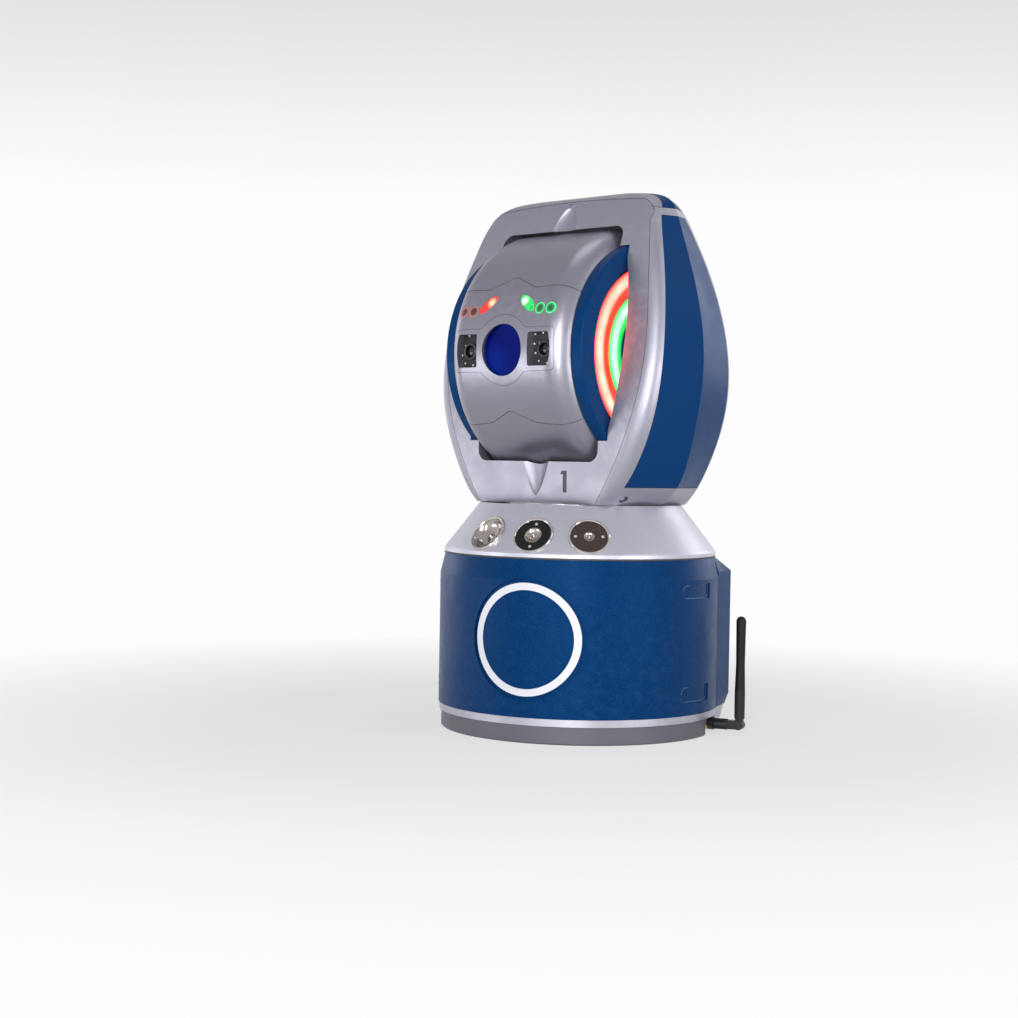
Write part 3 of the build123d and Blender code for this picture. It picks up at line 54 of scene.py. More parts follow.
NUMERAL_X = 0.0241              # where a numeral begins, from the middle of its face
NUMERAL_Z = 0.1853
NUMERAL_H = 0.0165
NUMERAL_PROUD = 0.00008
NUMERAL_SUNK = 0.0004
STEM_X = (0.0272, 0.0309)       # stem of the one
STEM_STRIPS = 6
FLAG_Z = (0.1990, 0.2018)       # flag of the one
FLAG_TIP_X = 0.0262
TWO_STROKES = ((0.0, 0.0, 8.4, 3.0), (0.0, 3.0, 3.6, 6.9), (0.0, 6.9, 8.4, 9.9),
               (4.8, 9.9, 8.4, 13.6), (0.0, 13.6, 8.4, 16.5))   # millimetres

# black ring under the cone's lip: a painted shadow filling the seam there
LIP_SHADOW_RING = ((0.1048, 0.1362), (0.1067, 0.1362), (0.1067, 0.1369), (0.1048, 0.1369))
NECK_SEAL = ((0.0608, 0.1715), (0.0757, 0.1715), (0.0757, 0.1745), (0.0725, 0.1745),
             (0.0722, 0.1738), (0.0650, 0.1738), (0.0647, 0.1752), (0.0608, 0.1752))

TONGUE_Z = ((0.0290, 0.0410), (0.1070, 0.1175))     # low and high catch tongues of the cover
TONGUE_ROOT = radians(82.6)     # angles from -Y round the cover
TONGUE_SHOULDER = radians(67.6)
TONGUE_TIP = radians(66.2)
TONGUE_DROP = 0.0006
TONGUE_CORNER = 0.0030
COVER_R = 0.11                  # the cover's radius, near enough to turn angles into lengths

PORT_PLACE = (0.0731, -0.0388, 0.1810)
PORT_OUT = (0.76, -0.32, -0.56)
SCREW_DEPTH = 0.0042

# The photo's camera
IMAGE = 1018.0
FOCAL_PX = 1827.5
SENSOR = 36.0
CAMERA_AT = Vector((0.51793, -1.34925, 0.20687))
CAMERA_YAW = -0.0391
CAMERA_PITCH = 0.02517
CAMERA_ROLL = 0.01711
CAMERA_TURN = radians(21.0)

# Backdrop and sky
BACKDROP_WHITE = 0.985
BACKDROP_GREY = 0.62            # seen high up
LOW_SKY = (1.0, 1.0, 1.03)      # in mirrors, near the horizon
HIGH_SKY = (0.66, 0.66, 0.68)   # in mirrors, overhead
DIFFUSE_SKY = (0.12, 0.12, 0.12)
PAPER = 0.85
FLOOR_R = 9.0
NEAR_FLOOR = 0.28               # up to here the floor shows the object's shadow
FAR_FLOOR = 0.75                # from here on it has its own brightness
NEAR_GLOW = 0.60                # share of its own brightness near the object


def in_head(x, y, z):
    """A point of the unturned head, in metres, placed on the turned one."""
    c, s = cos(HEAD_TURN), sin(HEAD_TURN)
    return Vector((c * x - s * y, s * x + c * y, z))


# Materials

def new_material(name):
    mat = bpy.data.materials.new(name)
    mat.use_nodes = True
    tree = mat.node_tree
    tree.nodes.clear()
    out = tree.nodes.new("ShaderNodeOutputMaterial")
    shader = tree.nodes.new("ShaderNodeBsdfPrincipled")
    tree.links.new(shader.outputs["BSDF"], out.inputs["Surface"])
    return mat, tree, shader


def object_coords(tree):
    return tree.nodes.new("ShaderNodeTexCoord").outputs["Object"]


def noise(tree, coords, scale, detail=3.0, rough=0.55):
    node = tree.nodes.new("ShaderNodeTexNoise")
    node.inputs["Scale"].default_value = scale
    node.inputs["Detail"].default_value = detail
    node.inputs["Roughness"].default_value = rough
    tree.links.new(coords, node.inputs["Vector"])
    return node.outputs["Fac"]


def ramp(tree, fac, stops):
    node = tree.nodes.new("ShaderNodeValToRGB")
    items = node.color_ramp.elements
    while len(items) < len(stops):
        items.new(0.5)
    for item, (place, color) in zip(items, stops):
        item.position = place
        item.color = (*color, 1.0)
    tree.links.new(fac, node.inputs["Fac"])
    return node.outputs["Color"]


def spread(tree, fac, low, high, to_low, to_high):
    node = tree.nodes.new("ShaderNodeMapRange")
    node.inputs["From Min"].default_value = low
    node.inputs["From Max"].default_value = high
    node.inputs["To Min"].default_value = to_low
    node.inputs["To Max"].default_value = to_high
    tree.links.new(fac, node.inputs["Value"])
    return node.outputs["Result"]


def bump(tree, shader, height, strength, distance):
    node = tree.nodes.new("ShaderNodeBump")
    node.inputs["Strength"].default_value = strength
    node.inputs["Distance"].default_value = distance
    tree.links.new(height, node.inputs["Height"])
    tree.links.new(node.outputs["Normal"], shader.inputs["Normal"])


def mix_color(tree, fac, a, b):
    node = tree.nodes.new("ShaderNodeMix")
    node.data_type = "RGBA"
    tree.links.new(fac, node.inputs["Factor"])
    for value, socket in ((a, node.inputs[6]), (b, node.inputs[7])):
        if isinstance(value, tuple):
            socket.default_value = (*value, 1.0)
        else:
            tree.links.new(value, socket)
    return node.outputs[2]


def scaled(color, share):
    return tuple(min(1.0, c * share) for c in color)


def split_xyz(tree, vector):
    parts = tree.nodes.new("ShaderNodeSeparateXYZ")
    tree.links.new(vector, parts.inputs["Vector"])
    return parts.outputs


def linked_math(tree, operation, first, second):
    """Result of a Math node on two linked values."""
    node = tree.nodes.new("ShaderNodeMath")
    node.operation = operation
    tree.links.new(first, node.inputs[0])
    tree.links.new(second, node.inputs[1])
    return node.outputs[0]


def edge_wear(tree):
    """Bright where the surface is convex, for rubbed edges."""
    geometry = tree.nodes.new("ShaderNodeNewGeometry")
    return spread(tree, geometry.outputs["Pointiness"], 0.515, 0.60, 0.0, 1.0)


def paint(name, color, metallic=0.0, roughness=0.4, grain=900.0, grain_depth=0.00004,
          speckle=0.05, mottling=0.02, wear=0.2, wear_color=(0.55, 0.56, 0.58), sheen=0.5,
          tint=(1.0, 1.0, 1.0)):
    """Sprayed finish: mottled colour, flakes or texture, orange peel, rubbed edges."""
    mat, tree, shader = new_material(name)
    coords = object_coords(tree)
    broad = noise(tree, coords, 14.0, 4.0)
    tone = ramp(tree, broad, [(0.35, scaled(color, 1 - mottling)),
                              (0.65, scaled(color, 1 + mottling))])
    fine = noise(tree, coords, grain, 2.0, 0.7)
    flakes = ramp(tree, fine, [(0.36, scaled(color, 1 - speckle)), (0.52, color),
                               (0.70, scaled(color, 1 + 1.8 * speckle))])
    tone = mix_color(tree, spread(tree, broad, 0.2, 0.8, 0.75, 0.95), tone, flakes)
    if wear:
        rub = spread(tree, noise(tree, coords, 160.0, 3.0), 0.45, 0.75, 0.0, wear)
        tone = mix_color(tree, linked_math(tree, "MULTIPLY", edge_wear(tree), rub), tone,
                         wear_color)
    tree.links.new(tone, shader.inputs["Base Color"])
    tree.links.new(spread(tree, noise(tree, coords, 55.0), 0.3, 0.7, roughness * 0.88,
                          roughness * 1.12), shader.inputs["Roughness"])
    shader.inputs["Metallic"].default_value = metallic
    shader.inputs["Specular IOR Level"].default_value = sheen
    shader.inputs["Specular Tint"].default_value = (*tint, 1.0)
    bump(tree, shader, fine, 0.35, grain_depth)
    return mat


def metal(name, color, roughness=0.25, grain=700.0, stain=0.10):
    """Bare or plated metal with stains and fine scratches."""
    mat, tree, shader = new_material(name)
    coords = object_coords(tree)
    broad = noise(tree, coords, 60.0, 4.0)
    tree.links.new(ramp(tree, broad, [(0.35, scaled(color, 1 - stain)), (0.62, color)]),
                   shader.inputs["Base Color"])
    shader.inputs["Metallic"].default_value = 1.0
    fine = noise(tree, coords, grain, 2.0)
    tree.links.new(spread(tree, fine, 0.25, 0.75, roughness * 0.8, roughness * 1.3),
                   shader.inputs["Roughness"])
    bump(tree, shader, fine, 0.25, 0.00002)
    return mat


def plastic(name, color, roughness=0.5, grain=1400.0, depth=0.00003, dust=0.05, sheen=0.5):
    """Moulded plastic: fine spark texture, faint dust and worn corners."""
    mat, tree, shader = new_material(name)
    coords = object_coords(tree)
    broad = noise(tree, coords, 30.0, 4.0)
    dusty = tuple(min(1.0, c + dust * 0.4) for c in color)
    tone = ramp(tree, broad, [(0.40, color), (0.75, dusty)])
    worn = tuple(min(1.0, c + 0.05 + dust) for c in color)
    tone = mix_color(tree, spread(tree, edge_wear(tree), 0.0, 1.0, 0.0, 0.4), tone, worn)
    tree.links.new(tone, shader.inputs["Base Color"])
    fine = noise(tree, coords, grain, 2.0)
    tree.links.new(spread(tree, fine, 0.3, 0.7, roughness * 0.9, roughness * 1.1),
                   shader.inputs["Roughness"])
    shader.inputs["Specular IOR Level"].default_value = sheen
    bump(tree, shader, fine, 0.4, depth)
    return mat


def radius_from_axle(tree):
    """Distance from the elevation axis, in metres."""
    mapping = tree.nodes.new("ShaderNodeVectorRotate")
    mapping.rotation_type = "Z_AXIS"
    mapping.inputs["Angle"].default_value = -HEAD_TURN
    tree.links.new(object_coords(tree), mapping.inputs["Vector"])
    parts = split_xyz(tree, mapping.outputs["Vector"])
    rise = tree.nodes.new("ShaderNodeMath")
    rise.operation = "SUBTRACT"
    rise.inputs[1].default_value = AXIS_Z
    tree.links.new(parts["Z"], rise.inputs[0])
    flat = tree.nodes.new("ShaderNodeCombineXYZ")
    tree.links.new(parts["Y"], flat.inputs["X"])
    tree.links.new(rise.outputs[0], flat.inputs["Y"])
    length = tree.nodes.new("ShaderNodeVectorMath")
    length.operation = "LENGTH"
    tree.links.new(flat.outputs["Vector"], length.inputs[0])
    return length.outputs["Value"]


def ring_lamp(name, r_in, r_out, edge, core, strength):
    """Lit ring: a pale core between coloured edges, uneven where the lamps sit."""
    mat, tree, shader = new_material(name)
    across = spread(tree, radius_from_axle(tree), r_in, r_out, 0.0, 1.0)
    glow = ramp(tree, across, [(0.0, scaled(edge, 0.12)), (0.20, scaled(edge, 0.5)),
                               (0.42, edge), (0.60, core), (0.78, core), (1.0, edge)])
    patches = spread(tree, noise(tree, object_coords(tree), 95.0, 2.0), 0.3, 0.7,
                     0.75 * strength, 1.15 * strength)
    tree.links.new(glow, shader.inputs["Emission Color"])
    tree.links.new(patches, shader.inputs["Emission Strength"])
    tree.links.new(ramp(tree, across, [(0.0, scaled(edge, 0.3)), (0.5, edge)]),
                   shader.inputs["Base Color"])
    shader.inputs["Roughness"].default_value = 0.3
    return mat


def near_point(tree, place, reach):
    """One at a place of the unturned head, in metres, falling to zero at the reach."""
    away = tree.nodes.new("ShaderNodeVectorMath")
    away.operation = "DISTANCE"
    tree.links.new(object_coords(tree), away.inputs[0])
    away.inputs[1].default_value = in_head(*place)
    return spread(tree, away.outputs["Value"], 0.0, reach, 1.0, 0.0)


def lamp_place(x, t):
    """A place on the tilted face that carries the status lamps."""
    c, k = cos(LAMP_ANGLE), sin(LAMP_ANGLE)
    return (x, -DRUM_R * c + t * k, AXIS_Z + DRUM_R * k + t * c)


def lamp_lens(name, side, leaf, leaf_hot, bead, bead_rim, strength):
    """Leaf-shaped lens with a hot spot, and beads with dark centres and lit rims."""
    mat, tree, shader = new_material(name)
    patch = noise(tree, object_coords(tree), 420.0, 2.0)
    body = ramp(tree, patch, [(0.38, scaled(leaf, 0.55)), (0.62, leaf)])
    hot = near_point(tree, lamp_place(side * LEAF_HOT[0], LEAF_HOT[1]), 0.0062)
    tone = mix_color(tree, spread(tree, hot, 0.25, 0.85, 0.0, 1.0), body, leaf_hot)
    for x in BEAD_X:
        inside = near_point(tree, lamp_place(side * x, BEAD_T), 0.0055)
        ring = ramp(tree, inside, [(0.12, bead_rim), (0.24, bead_rim), (0.45, bead),
                                   (0.80, scaled(bead, 0.35))])
        reach = spread(tree, inside, 0.10, 0.12, 0.0, 1.0)
        tone = mix_color(tree, reach, tone, ring)
    tree.links.new(tone, shader.inputs["Emission Color"])
    tree.links.new(tone, shader.inputs["Base Color"])
    shader.inputs["Emission Strength"].default_value = strength
    shader.inputs["Roughness"].default_value = 0.12
    bump(tree, shader, patch, 0.3, 0.0002)
    return mat


def window_glass():
    """Blue beam window: a painted reflection makes it paler low at its left, a painted shadow
    darker high at its left.
    """
    mat, tree, shader = new_material("window_glass")
    film = noise(tree, object_coords(tree), 18.0, 2.0)
    tone = ramp(tree, film, [(0.3, (0.0, 0.004, 0.125)), (0.7, (0.0, 0.007, 0.160))])
    # painted reflection: paler blue low at the window's left
    low = near_point(tree, (-0.010, WINDOW_Y, AXIS_Z - 0.010), 0.020)
    tone = mix_color(tree, spread(tree, low, 0.10, 0.75, 0.0, 0.6), tone, (0.0, 0.020, 0.270))
    # painted shadow: darker blue high at the window's left
    shade = near_point(tree, (-0.012, WINDOW_Y, AXIS_Z + 0.016), 0.012)
    tone = mix_color(tree, spread(tree, shade, 0.1, 0.9, 0.0, 0.7), tone, (0.0, 0.003, 0.050))
    tree.links.new(tone, shader.inputs["Base Color"])
    shader.inputs["Roughness"].default_value = 0.09
    shader.inputs["Specular IOR Level"].default_value = 0.04
    shader.inputs["Coat Weight"].default_value = 0.05
    shader.inputs["Coat Roughness"].default_value = 0.03
    bump(tree, shader, noise(tree, object_coords(tree), 260.0), 0.05, 0.00002)
    return mat


def antenna_jack():
    """Gilt jack at the wall, black anodised nut beyond it."""
    mat, tree, shader = new_material("antenna_jack")
    nut = spread(tree, split_xyz(tree, object_coords(tree))["X"], 0.1050, 0.1053, 0.0, 1.0)
    rub = noise(tree, object_coords(tree), 700.0)
    gilt = ramp(tree, rub, [(0.35, (0.50, 0.33, 0.10)), (0.65, (0.66, 0.47, 0.17))])
    tree.links.new(mix_color(tree, nut, gilt, (0.014, 0.013, 0.015)), shader.inputs["Base Color"])
    tree.links.new(spread(tree, nut, 0.0, 1.0, 1.0, 0.2), shader.inputs["Metallic"])
    tree.links.new(spread(tree, rub, 0.3, 0.7, 0.26, 0.36), shader.inputs["Roughness"])
    bump(tree, shader, rub, 0.3, 0.00003)
    return mat


def nest_plate():
    """Plates of the two target nests: gloss black in the middle, dark satin at the right."""
    mat, tree, shader = new_material("nest_plate")
    right = spread(tree, split_xyz(tree, object_coords(tree))["X"], 0.018, 0.020, 0.0, 1.0)
    grain = noise(tree, object_coords(tree), 900.0, 3.0)
    satin = ramp(tree, grain, [(0.35, (0.028, 0.018, 0.016)), (0.65, (0.060, 0.042, 0.038))])
    tree.links.new(mix_color(tree, right, (0.006, 0.006, 0.007), satin),
                   shader.inputs["Base Color"])
    tree.links.new(spread(tree, right, 0.0, 1.0, 0.12, 0.40), shader.inputs["Roughness"])
    shader.inputs["Specular IOR Level"].default_value = 0.25
    bump(tree, shader, grain, 0.2, 0.00003)
    return mat


SILVER = (0.305, 0.302, 0.362)
# the head's silver paint made paler: painted light for the cone, which is lit brighter
PAINTED_LIGHT_SILVER = (0.50, 0.50, 0.57)
DRUM_SILVER = (0.262, 0.256, 0.306)
NAVY = (0.0006, 0.032, 0.125)
MATERIALS = {
    "silver": paint("silver_paint", SILVER, metallic=0.72, roughness=0.42, grain=1500.0,
                    grain_depth=0.00002, wear_color=(0.7, 0.7, 0.72)),
    "drum": paint("drum_silver_paint", DRUM_SILVER, metallic=0.78, roughness=0.33, grain=1700.0,
                  grain_depth=0.00002, speckle=0.07, wear=0.15, wear_color=(0.6, 0.6, 0.62)),
    "navy": paint("navy_paint", NAVY, roughness=0.40, sheen=0.20, tint=(0.16, 0.42, 1.0),
                  grain=1300.0, grain_depth=0.00002, speckle=0.06, mottling=0.04, wear=0.12,
                  wear_color=(0.03, 0.09, 0.22)),
    "blue": paint("blue_texture_paint", (0.0006, 0.029, 0.112), roughness=0.42, sheen=0.22,
                  tint=(0.14, 0.42, 1.0), grain=1000.0, grain_depth=0.00012, speckle=0.30,
                  mottling=0.03, wear=0.15, wear_color=(0.04, 0.11, 0.26)),
    "foot": paint("foot_grey_paint", (0.110, 0.105, 0.130), metallic=0.15, roughness=0.5,
                  grain=2600.0, wear=0.0),
    # same silver paint as the head's, paler as painted light on the cone
    "cone": paint("cone_silver_painted_light", PAINTED_LIGHT_SILVER, metallic=0.72, roughness=0.42, grain=1500.0,
                  grain_depth=0.00002, wear_color=(0.7, 0.7, 0.72)),
    "tray": paint("tray_silver", (0.42, 0.42, 0.48), metallic=0.72, roughness=0.38,
                  grain=1500.0),
    "white": plastic("ring_white", (0.68, 0.69, 0.75), roughness=0.35, dust=0.02),
    "black": plastic("black_plastic", (0.012, 0.010, 0.014), roughness=0.40, dust=0.01, sheen=0.14),
    "dark": plastic("dark_fittings", (0.022, 0.020, 0.022), roughness=0.5, dust=0.02),
    "plate": nest_plate(),
    "numeral": plastic("numeral_ink", (0.022, 0.026, 0.052), roughness=0.5, dust=0.01),
    "eye": plastic("camera_face", (0.016, 0.013, 0.015), roughness=0.30, dust=0.01, sheen=0.15),
    "led": plastic("camera_lamp", (0.62, 0.60, 0.66), roughness=0.15, dust=0.0),
    # black ring in the seam under the cone's lip: painted shadow
    "lip_shadow": plastic("painted_shadow_black", (0.010, 0.010, 0.012), roughness=0.6, dust=0.01),
    # paler blue than the cover: a painted highlight along the catch tongues' edges
    "tongue": plastic("catch_edge_painted_highlight", (0.012, 0.075, 0.200), roughness=0.45, dust=0.01),
    "nickel": metal("polished_nickel", (0.47, 0.42, 0.39), roughness=0.07, stain=0.30),
    "bezel": metal("nickel_bezel", (0.60, 0.56, 0.53), roughness=0.12, stain=0.2),
    "steel": metal("turned_steel", (0.58, 0.58, 0.60), roughness=0.3),
    "jack": antenna_jack(),
    "cast": metal("cast_aluminium", (0.55, 0.56, 0.58), roughness=0.45, grain=400.0),
    "motor": metal("motor_laminations", (0.28, 0.20, 0.14), roughness=0.45),
    "board": plastic("circuit_board", (0.02, 0.14, 0.06), roughness=0.4),
    "window": window_glass(),
    "lens": plastic("camera_glass", (0.004, 0.004, 0.006), roughness=0.08, depth=0.0, dust=0.0),
    "red_ring": ring_lamp("red_ring_light", 0.049, 0.0665, (1.0, 0.025, 0.015), (1.0, 0.27, 0.20),
                          3.2),
    "green_ring": ring_lamp("green_ring_light", 0.034, 0.0485, (0.01, 0.52, 0.07),
                            (0.30, 0.95, 0.36), 2.6),
    "red_lamp": lamp_lens("red_status_lens", -1, (0.80, 0.035, 0.030), (1.0, 0.62, 0.30),
                          (0.10, 0.030, 0.026), (0.40, 0.13, 0.10), 0.75),
    "green_lamp": lamp_lens("green_status_lens", 1, (0.02, 0.66, 0.12), (0.65, 1.0, 0.68),
                            (0.02, 0.16, 0.06), (0.05, 0.70, 0.20), 0.75),
}

FINISH = {
    "silver": ("yoke_frame", "front_face_panel", "rear_face_panel", "top_cap"),
    "cone": ("shoulder_cone",),
    "drum": ("drum_upper_shell", "drum_lower_shell", "drum_front_shell", "sensor_bezel"),
    "navy": ("side_panels", "cap_inserts", "drum_discs"),
    "blue": ("front_cover", "rear_housing", "battery_door"),
    "foot": ("foot_ring",),
    "tray": ("base_tray",),
    "white": ("badge_ring",),
    "black": ("antenna_elbow", "antenna_whip", "rear_sockets", "battery_packs", "power_button"),
    "dark": ("battery_bay", "cover_catches", "slip_ring_housing", "slip_ring_rotor",
             "azimuth_read_heads", "laser_tube", "laser_modules"),
    "plate": ("nest_plates",),
    "eye": ("camera_modules",),
    "nickel": ("nest_cups",),
    "bezel": ("nest_bezels",),
    "steel": ("stand_thread_ring", "azimuth_shaft", "trunnions", "azimuth_outer_races",
              "azimuth_inner_races", "axle_outer_races", "axle_inner_races", "nest_screws",
              "foot_screws"),
    "jack": ("antenna_jack",),
    "cast": ("azimuth_column", "drum_core", "axle_stator", "axle_rotor"),
    "motor": ("azimuth_stator", "azimuth_rotor"),
    "board": ("controller_board", "pillar_boards"),
    "lens": ("azimuth_encoder_disc", "axle_encoder_disc", "camera_lenses"),
    "window": ("aperture_window",),
    "red_ring": ("ring_lights_outer",),
    "green_ring": ("ring_lights_inner",),
    "red_lamp": ("status_lamp_left",),
    "green_lamp": ("status_lamp_right",),
}


def finish_nodes():
    for finish, names in FINISH.items():
        for name in names:
            data = NODES[name].data
            if not data.materials:
                data.materials.append(MATERIALS[finish])
            for index in range(len(data.materials)):
                data.materials[index] = MATERIALS[finish]


# Detail pieces

def add_mesh(name, points, faces, finish, body, slot, smooth=False):
    """A detail piece that rides on a body; its slot argument is not used."""
    mesh = bpy.data.meshes.new(name)
    mesh.from_pydata([tuple(p) for p in points], [], faces)
    mesh.update()
    tidy = bmesh.new()
    tidy.from_mesh(mesh)
    bmesh.ops.recalc_face_normals(tidy, faces=tidy.faces)
    for face in tidy.faces:
        face.smooth = smooth
    tidy.to_mesh(mesh)
    tidy.free()
    mesh.materials.append(MATERIALS[finish])
    piece = bpy.data.objects.new(name, mesh)
    bpy.context.collection.objects.link(piece)
    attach(piece, body)


def lathe(profile, place, ahead, steps=24):
    """Points and faces of a closed turned solid: (radius, height) pairs along a direction."""
    ahead = Vector(ahead).normalized()
    side = ahead.orthogonal().normalized()
    up = ahead.cross(side)
    points, faces = [], []
    for radius, height in profile:
        for k in range(steps):
            turn = 2 * pi * k / steps
            points.append(Vector(place) + ahead * height + side * radius * cos(turn)
                          + up * radius * sin(turn))
    for row in range(len(profile) - 1):
        for k in range(steps):
            j = (k + 1) % steps
            low, high = row * steps, (row + 1) * steps
            faces.append((low + k, low + j, high + j, high + k))
    faces.append(tuple(range(steps)))
    last = (len(profile) - 1) * steps
    faces.append(tuple(last + k for k in range(steps)))
    return points, faces


def joined(parts):
    """One list of points and one of faces from several pairs of them."""
    points, faces = [], []
    for more_points, more_faces in parts:
        start = len(points)
        points.extend(more_points)
        faces.extend(tuple(start + k for k in face) for face in more_faces)
    return points, faces


def skin(node):
    """A CAD node's surface, for finding where a ray meets it."""
    data = node.data
    return BVHTree.FromPolygons([v.co for v in data.vertices],
                                [tuple(f.vertices) for f in data.polygons])


def drape(node, rows, into):
    """Thin plates over a face of the unturned head from (x, z) outlines; into is the way in."""
    tree = skin(node)
    ahead = in_head(0, into, 0)
    parts = []
    for outline in rows:
        front, back = [], []
        for x, z in outline:
            hit = tree.ray_cast(in_head(x, -0.2 * into, z), ahead)[0]
            front.append(hit - ahead * NUMERAL_PROUD)
            back.append(hit + ahead * NUMERAL_SUNK)
        count = len(outline)
        faces = [tuple(range(count)), tuple(range(2 * count - 1, count - 1, -1))]
        faces += [(k, (k + 1) % count, count + (k + 1) % count, count + k) for k in range(count)]
        parts.append((front + back, faces))
    return joined(parts)


def numerals():
    """Plain face numbers: one in front, two at the back, each cut in level strips."""
    left, right = STEM_X
    low_flag, high_flag = FLAG_Z
    heights = [NUMERAL_Z + NUMERAL_H * k / STEM_STRIPS for k in range(STEM_STRIPS + 1)]
    front = [((left, low), (right, low), (right, high), (left, high))
             for low, high in zip(heights, heights[1:])]
    front.append(((NUMERAL_X, low_flag), (left, low_flag), (left, high_flag),
                  (FLAG_TIP_X, high_flag)))
    add_mesh("numeral_one", *drape(NODES["front_face_panel"], front, 1),
             "numeral", "head", "black_plastic")
    back = []
    for x0, low, x1, high in TWO_STROKES:
        near, far = -NUMERAL_X - x0 / 1000, -NUMERAL_X - x1 / 1000
        low, high = NUMERAL_Z + low / 1000, NUMERAL_Z + high / 1000
        back.append(((far, low), (near, low), (near, high), (far, high)))
    add_mesh("numeral_two", *drape(NODES["rear_face_panel"], back, -1),
             "numeral", "head", "black_plastic")


def camera_details():
    """Small lamps around each camera, and a dome on its lens."""
    ahead = in_head(0, -1, 0)
    lamps, domes = [], []
    for side in (-1, 1):
        for dx, dz in EYE_LAMPS:
            place = in_head(side * EYE_X + dx / 1000, EYE_FACE_Y, AXIS_Z + dz / 1000)
            lamps.append(lathe(((0.00085, 0.0), (0.0008, 0.0004), (0.0004, 0.0007)), place,
                               ahead, 10))
        domes.append(lathe(((0.0043, -0.0002), (0.0041, 0.0005), (0.0032, 0.0011),
                            (0.0018, 0.0015), (0.0005, 0.0016)),
                           in_head(side * EYE_X, EYE_LENS_Y, AXIS_Z), ahead, 28))
    add_mesh("camera_lamps", *joined(lamps), "led", "drum", "white_plastic")
    add_mesh("camera_domes", *joined(domes), "lens", "drum", "encoder_glass", smooth=True)


def round_band(name, profile, finish, body, slot, steps=120):
    """Closed ring about the azimuth axis from a list of (radius, height) corners."""
    points = [Vector((radius * cos(2 * pi * k / steps), radius * sin(2 * pi * k / steps), height))
              for radius, height in profile for k in range(steps)]
    faces = []
    for row in range(len(profile)):
        low, high = row * steps, (row + 1) % len(profile) * steps
        for k in range(steps):
            j = (k + 1) % steps
            faces.append((low + k, low + j, high + j, high + k))
    add_mesh(name, points, faces, finish, body, slot)


def seals():
    """Black ring under the cone's lip as a painted shadow in the seam, and the seal plate about the
    neck with its two steps.
    """
    # painted shadow: a black ring in the seam under the cone's lip
    round_band("lip_painted_shadow", LIP_SHADOW_RING, "lip_shadow", "base", "black_plastic")
    round_band("neck_seal", NECK_SEAL, "black", "base", "black_plastic")


def catch_edges():
    """Thin raised edge of each catch tongue on both sides of the cover, coloured paler than the
    cover as a painted highlight.
    """
    tree = skin(NODES["front_cover"])
    parts = []
    for low, high in TONGUE_Z:
        path = [(TONGUE_ROOT, low), (TONGUE_SHOULDER, low + TONGUE_DROP),
                (TONGUE_TIP, low + TONGUE_CORNER), (TONGUE_TIP, high - TONGUE_CORNER),
                (TONGUE_SHOULDER, high - TONGUE_DROP), (TONGUE_ROOT, high)]
        for side in (-1, 1):
            for (a0, z0), (a1, z1) in zip(path, path[1:]):
                parts.append(edge_strip(tree, side * a0, z0, side * a1, z1))
    add_mesh("catch_edges", *joined(parts), "tongue", "base", "blue_texture")


def edge_strip(tree, a0, z0, a1, z1, half=0.00035, proud=0.00012, count=10):
    """Narrow strip between two places on a round wall, each an angle from -Y and a height."""
    points, faces = [], []
    run = Vector(((a1 - a0) * COVER_R, z1 - z0)).normalized()
    for k in range(count + 1):
        t = k / count
        a, z = a0 + (a1 - a0) * t, z0 + (z1 - z0) * t
        for sign in (-1, 1):
            b, h = a - sign * run[1] * half / COVER_R, z + sign * run[0] * half
            out = Vector((sin(b), -cos(b), 0.0))
            hit = tree.ray_cast(out * 0.3 + Vector((0, 0, h)), -out)[0]
            points.append(hit + out * proud)
            points.append(hit - out * proud * 3)
    for k in range(count):
        i = 4 * k
        faces += [(i, i + 2, i + 6, i + 4), (i + 1, i + 5, i + 7, i + 3), (i, i + 4, i + 5, i + 1),
                  (i + 2, i + 3, i + 7, i + 6)]
    faces += [(0, 1, 3, 2), (4 * count, 4 * count + 2, 4 * count + 3, 4 * count + 1)]
    return points, faces


def port_screw():
    """Socket screw in the small port of the head's skirt."""
    ahead = in_head(*Vector(PORT_OUT).normalized())
    place = in_head(*PORT_PLACE) - ahead * SCREW_DEPTH
    profile = ((0.0026, 0.0), (0.0026, 0.0012), (0.0022, 0.0020), (0.0012, 0.0021),
               (0.0011, 0.0010), (0.0002, 0.0008))
    add_mesh("skirt_screw", *lathe(profile, place, ahead), "steel", "head", "bright_steel")


# Camera, lights and backdrop

def make_camera():
    data = bpy.data.cameras.new("photo_camera")
    data.sensor_fit = "HORIZONTAL"
    data.sensor_width = SENSOR
    data.lens = FOCAL_PX / IMAGE * SENSOR
    data.clip_start = 0.05
    data.clip_end = 60.0
    cy, sy = cos(CAMERA_YAW), sin(CAMERA_YAW)
    cp, sp = cos(CAMERA_PITCH), sin(CAMERA_PITCH)
    ahead = Vector((sy * cp, cy * cp, -sp))
    right = Vector((cy, -sy, 0.0))
    up = right.cross(ahead)
    cr, sr = cos(CAMERA_ROLL), sin(CAMERA_ROLL)
    right, up = cr * right + sr * up, -sr * right + cr * up
    turn = Matrix.Rotation(CAMERA_TURN, 3, "Z")
    axes = Matrix((turn @ right, turn @ up, turn @ -ahead)).transposed().to_4x4()
    camera = bpy.data.objects.new("photo_camera", data)
    camera.matrix_world = Matrix.Translation(CAMERA_AT) @ axes
    bpy.context.collection.objects.link(camera)
    bpy.context.scene.camera = camera


def area_light(name, place, target, size, power):
    data = bpy.data.lights.new(name, "AREA")
    data.shape = "RECTANGLE"
    data.size, data.size_y = size
    data.energy = power
    lamp = bpy.data.objects.new(name, data)
    lamp.location = place
    lamp.rotation_euler = (target - place).to_track_quat("-Z", "Y").to_euler()
    bpy.context.collection.objects.link(lamp)


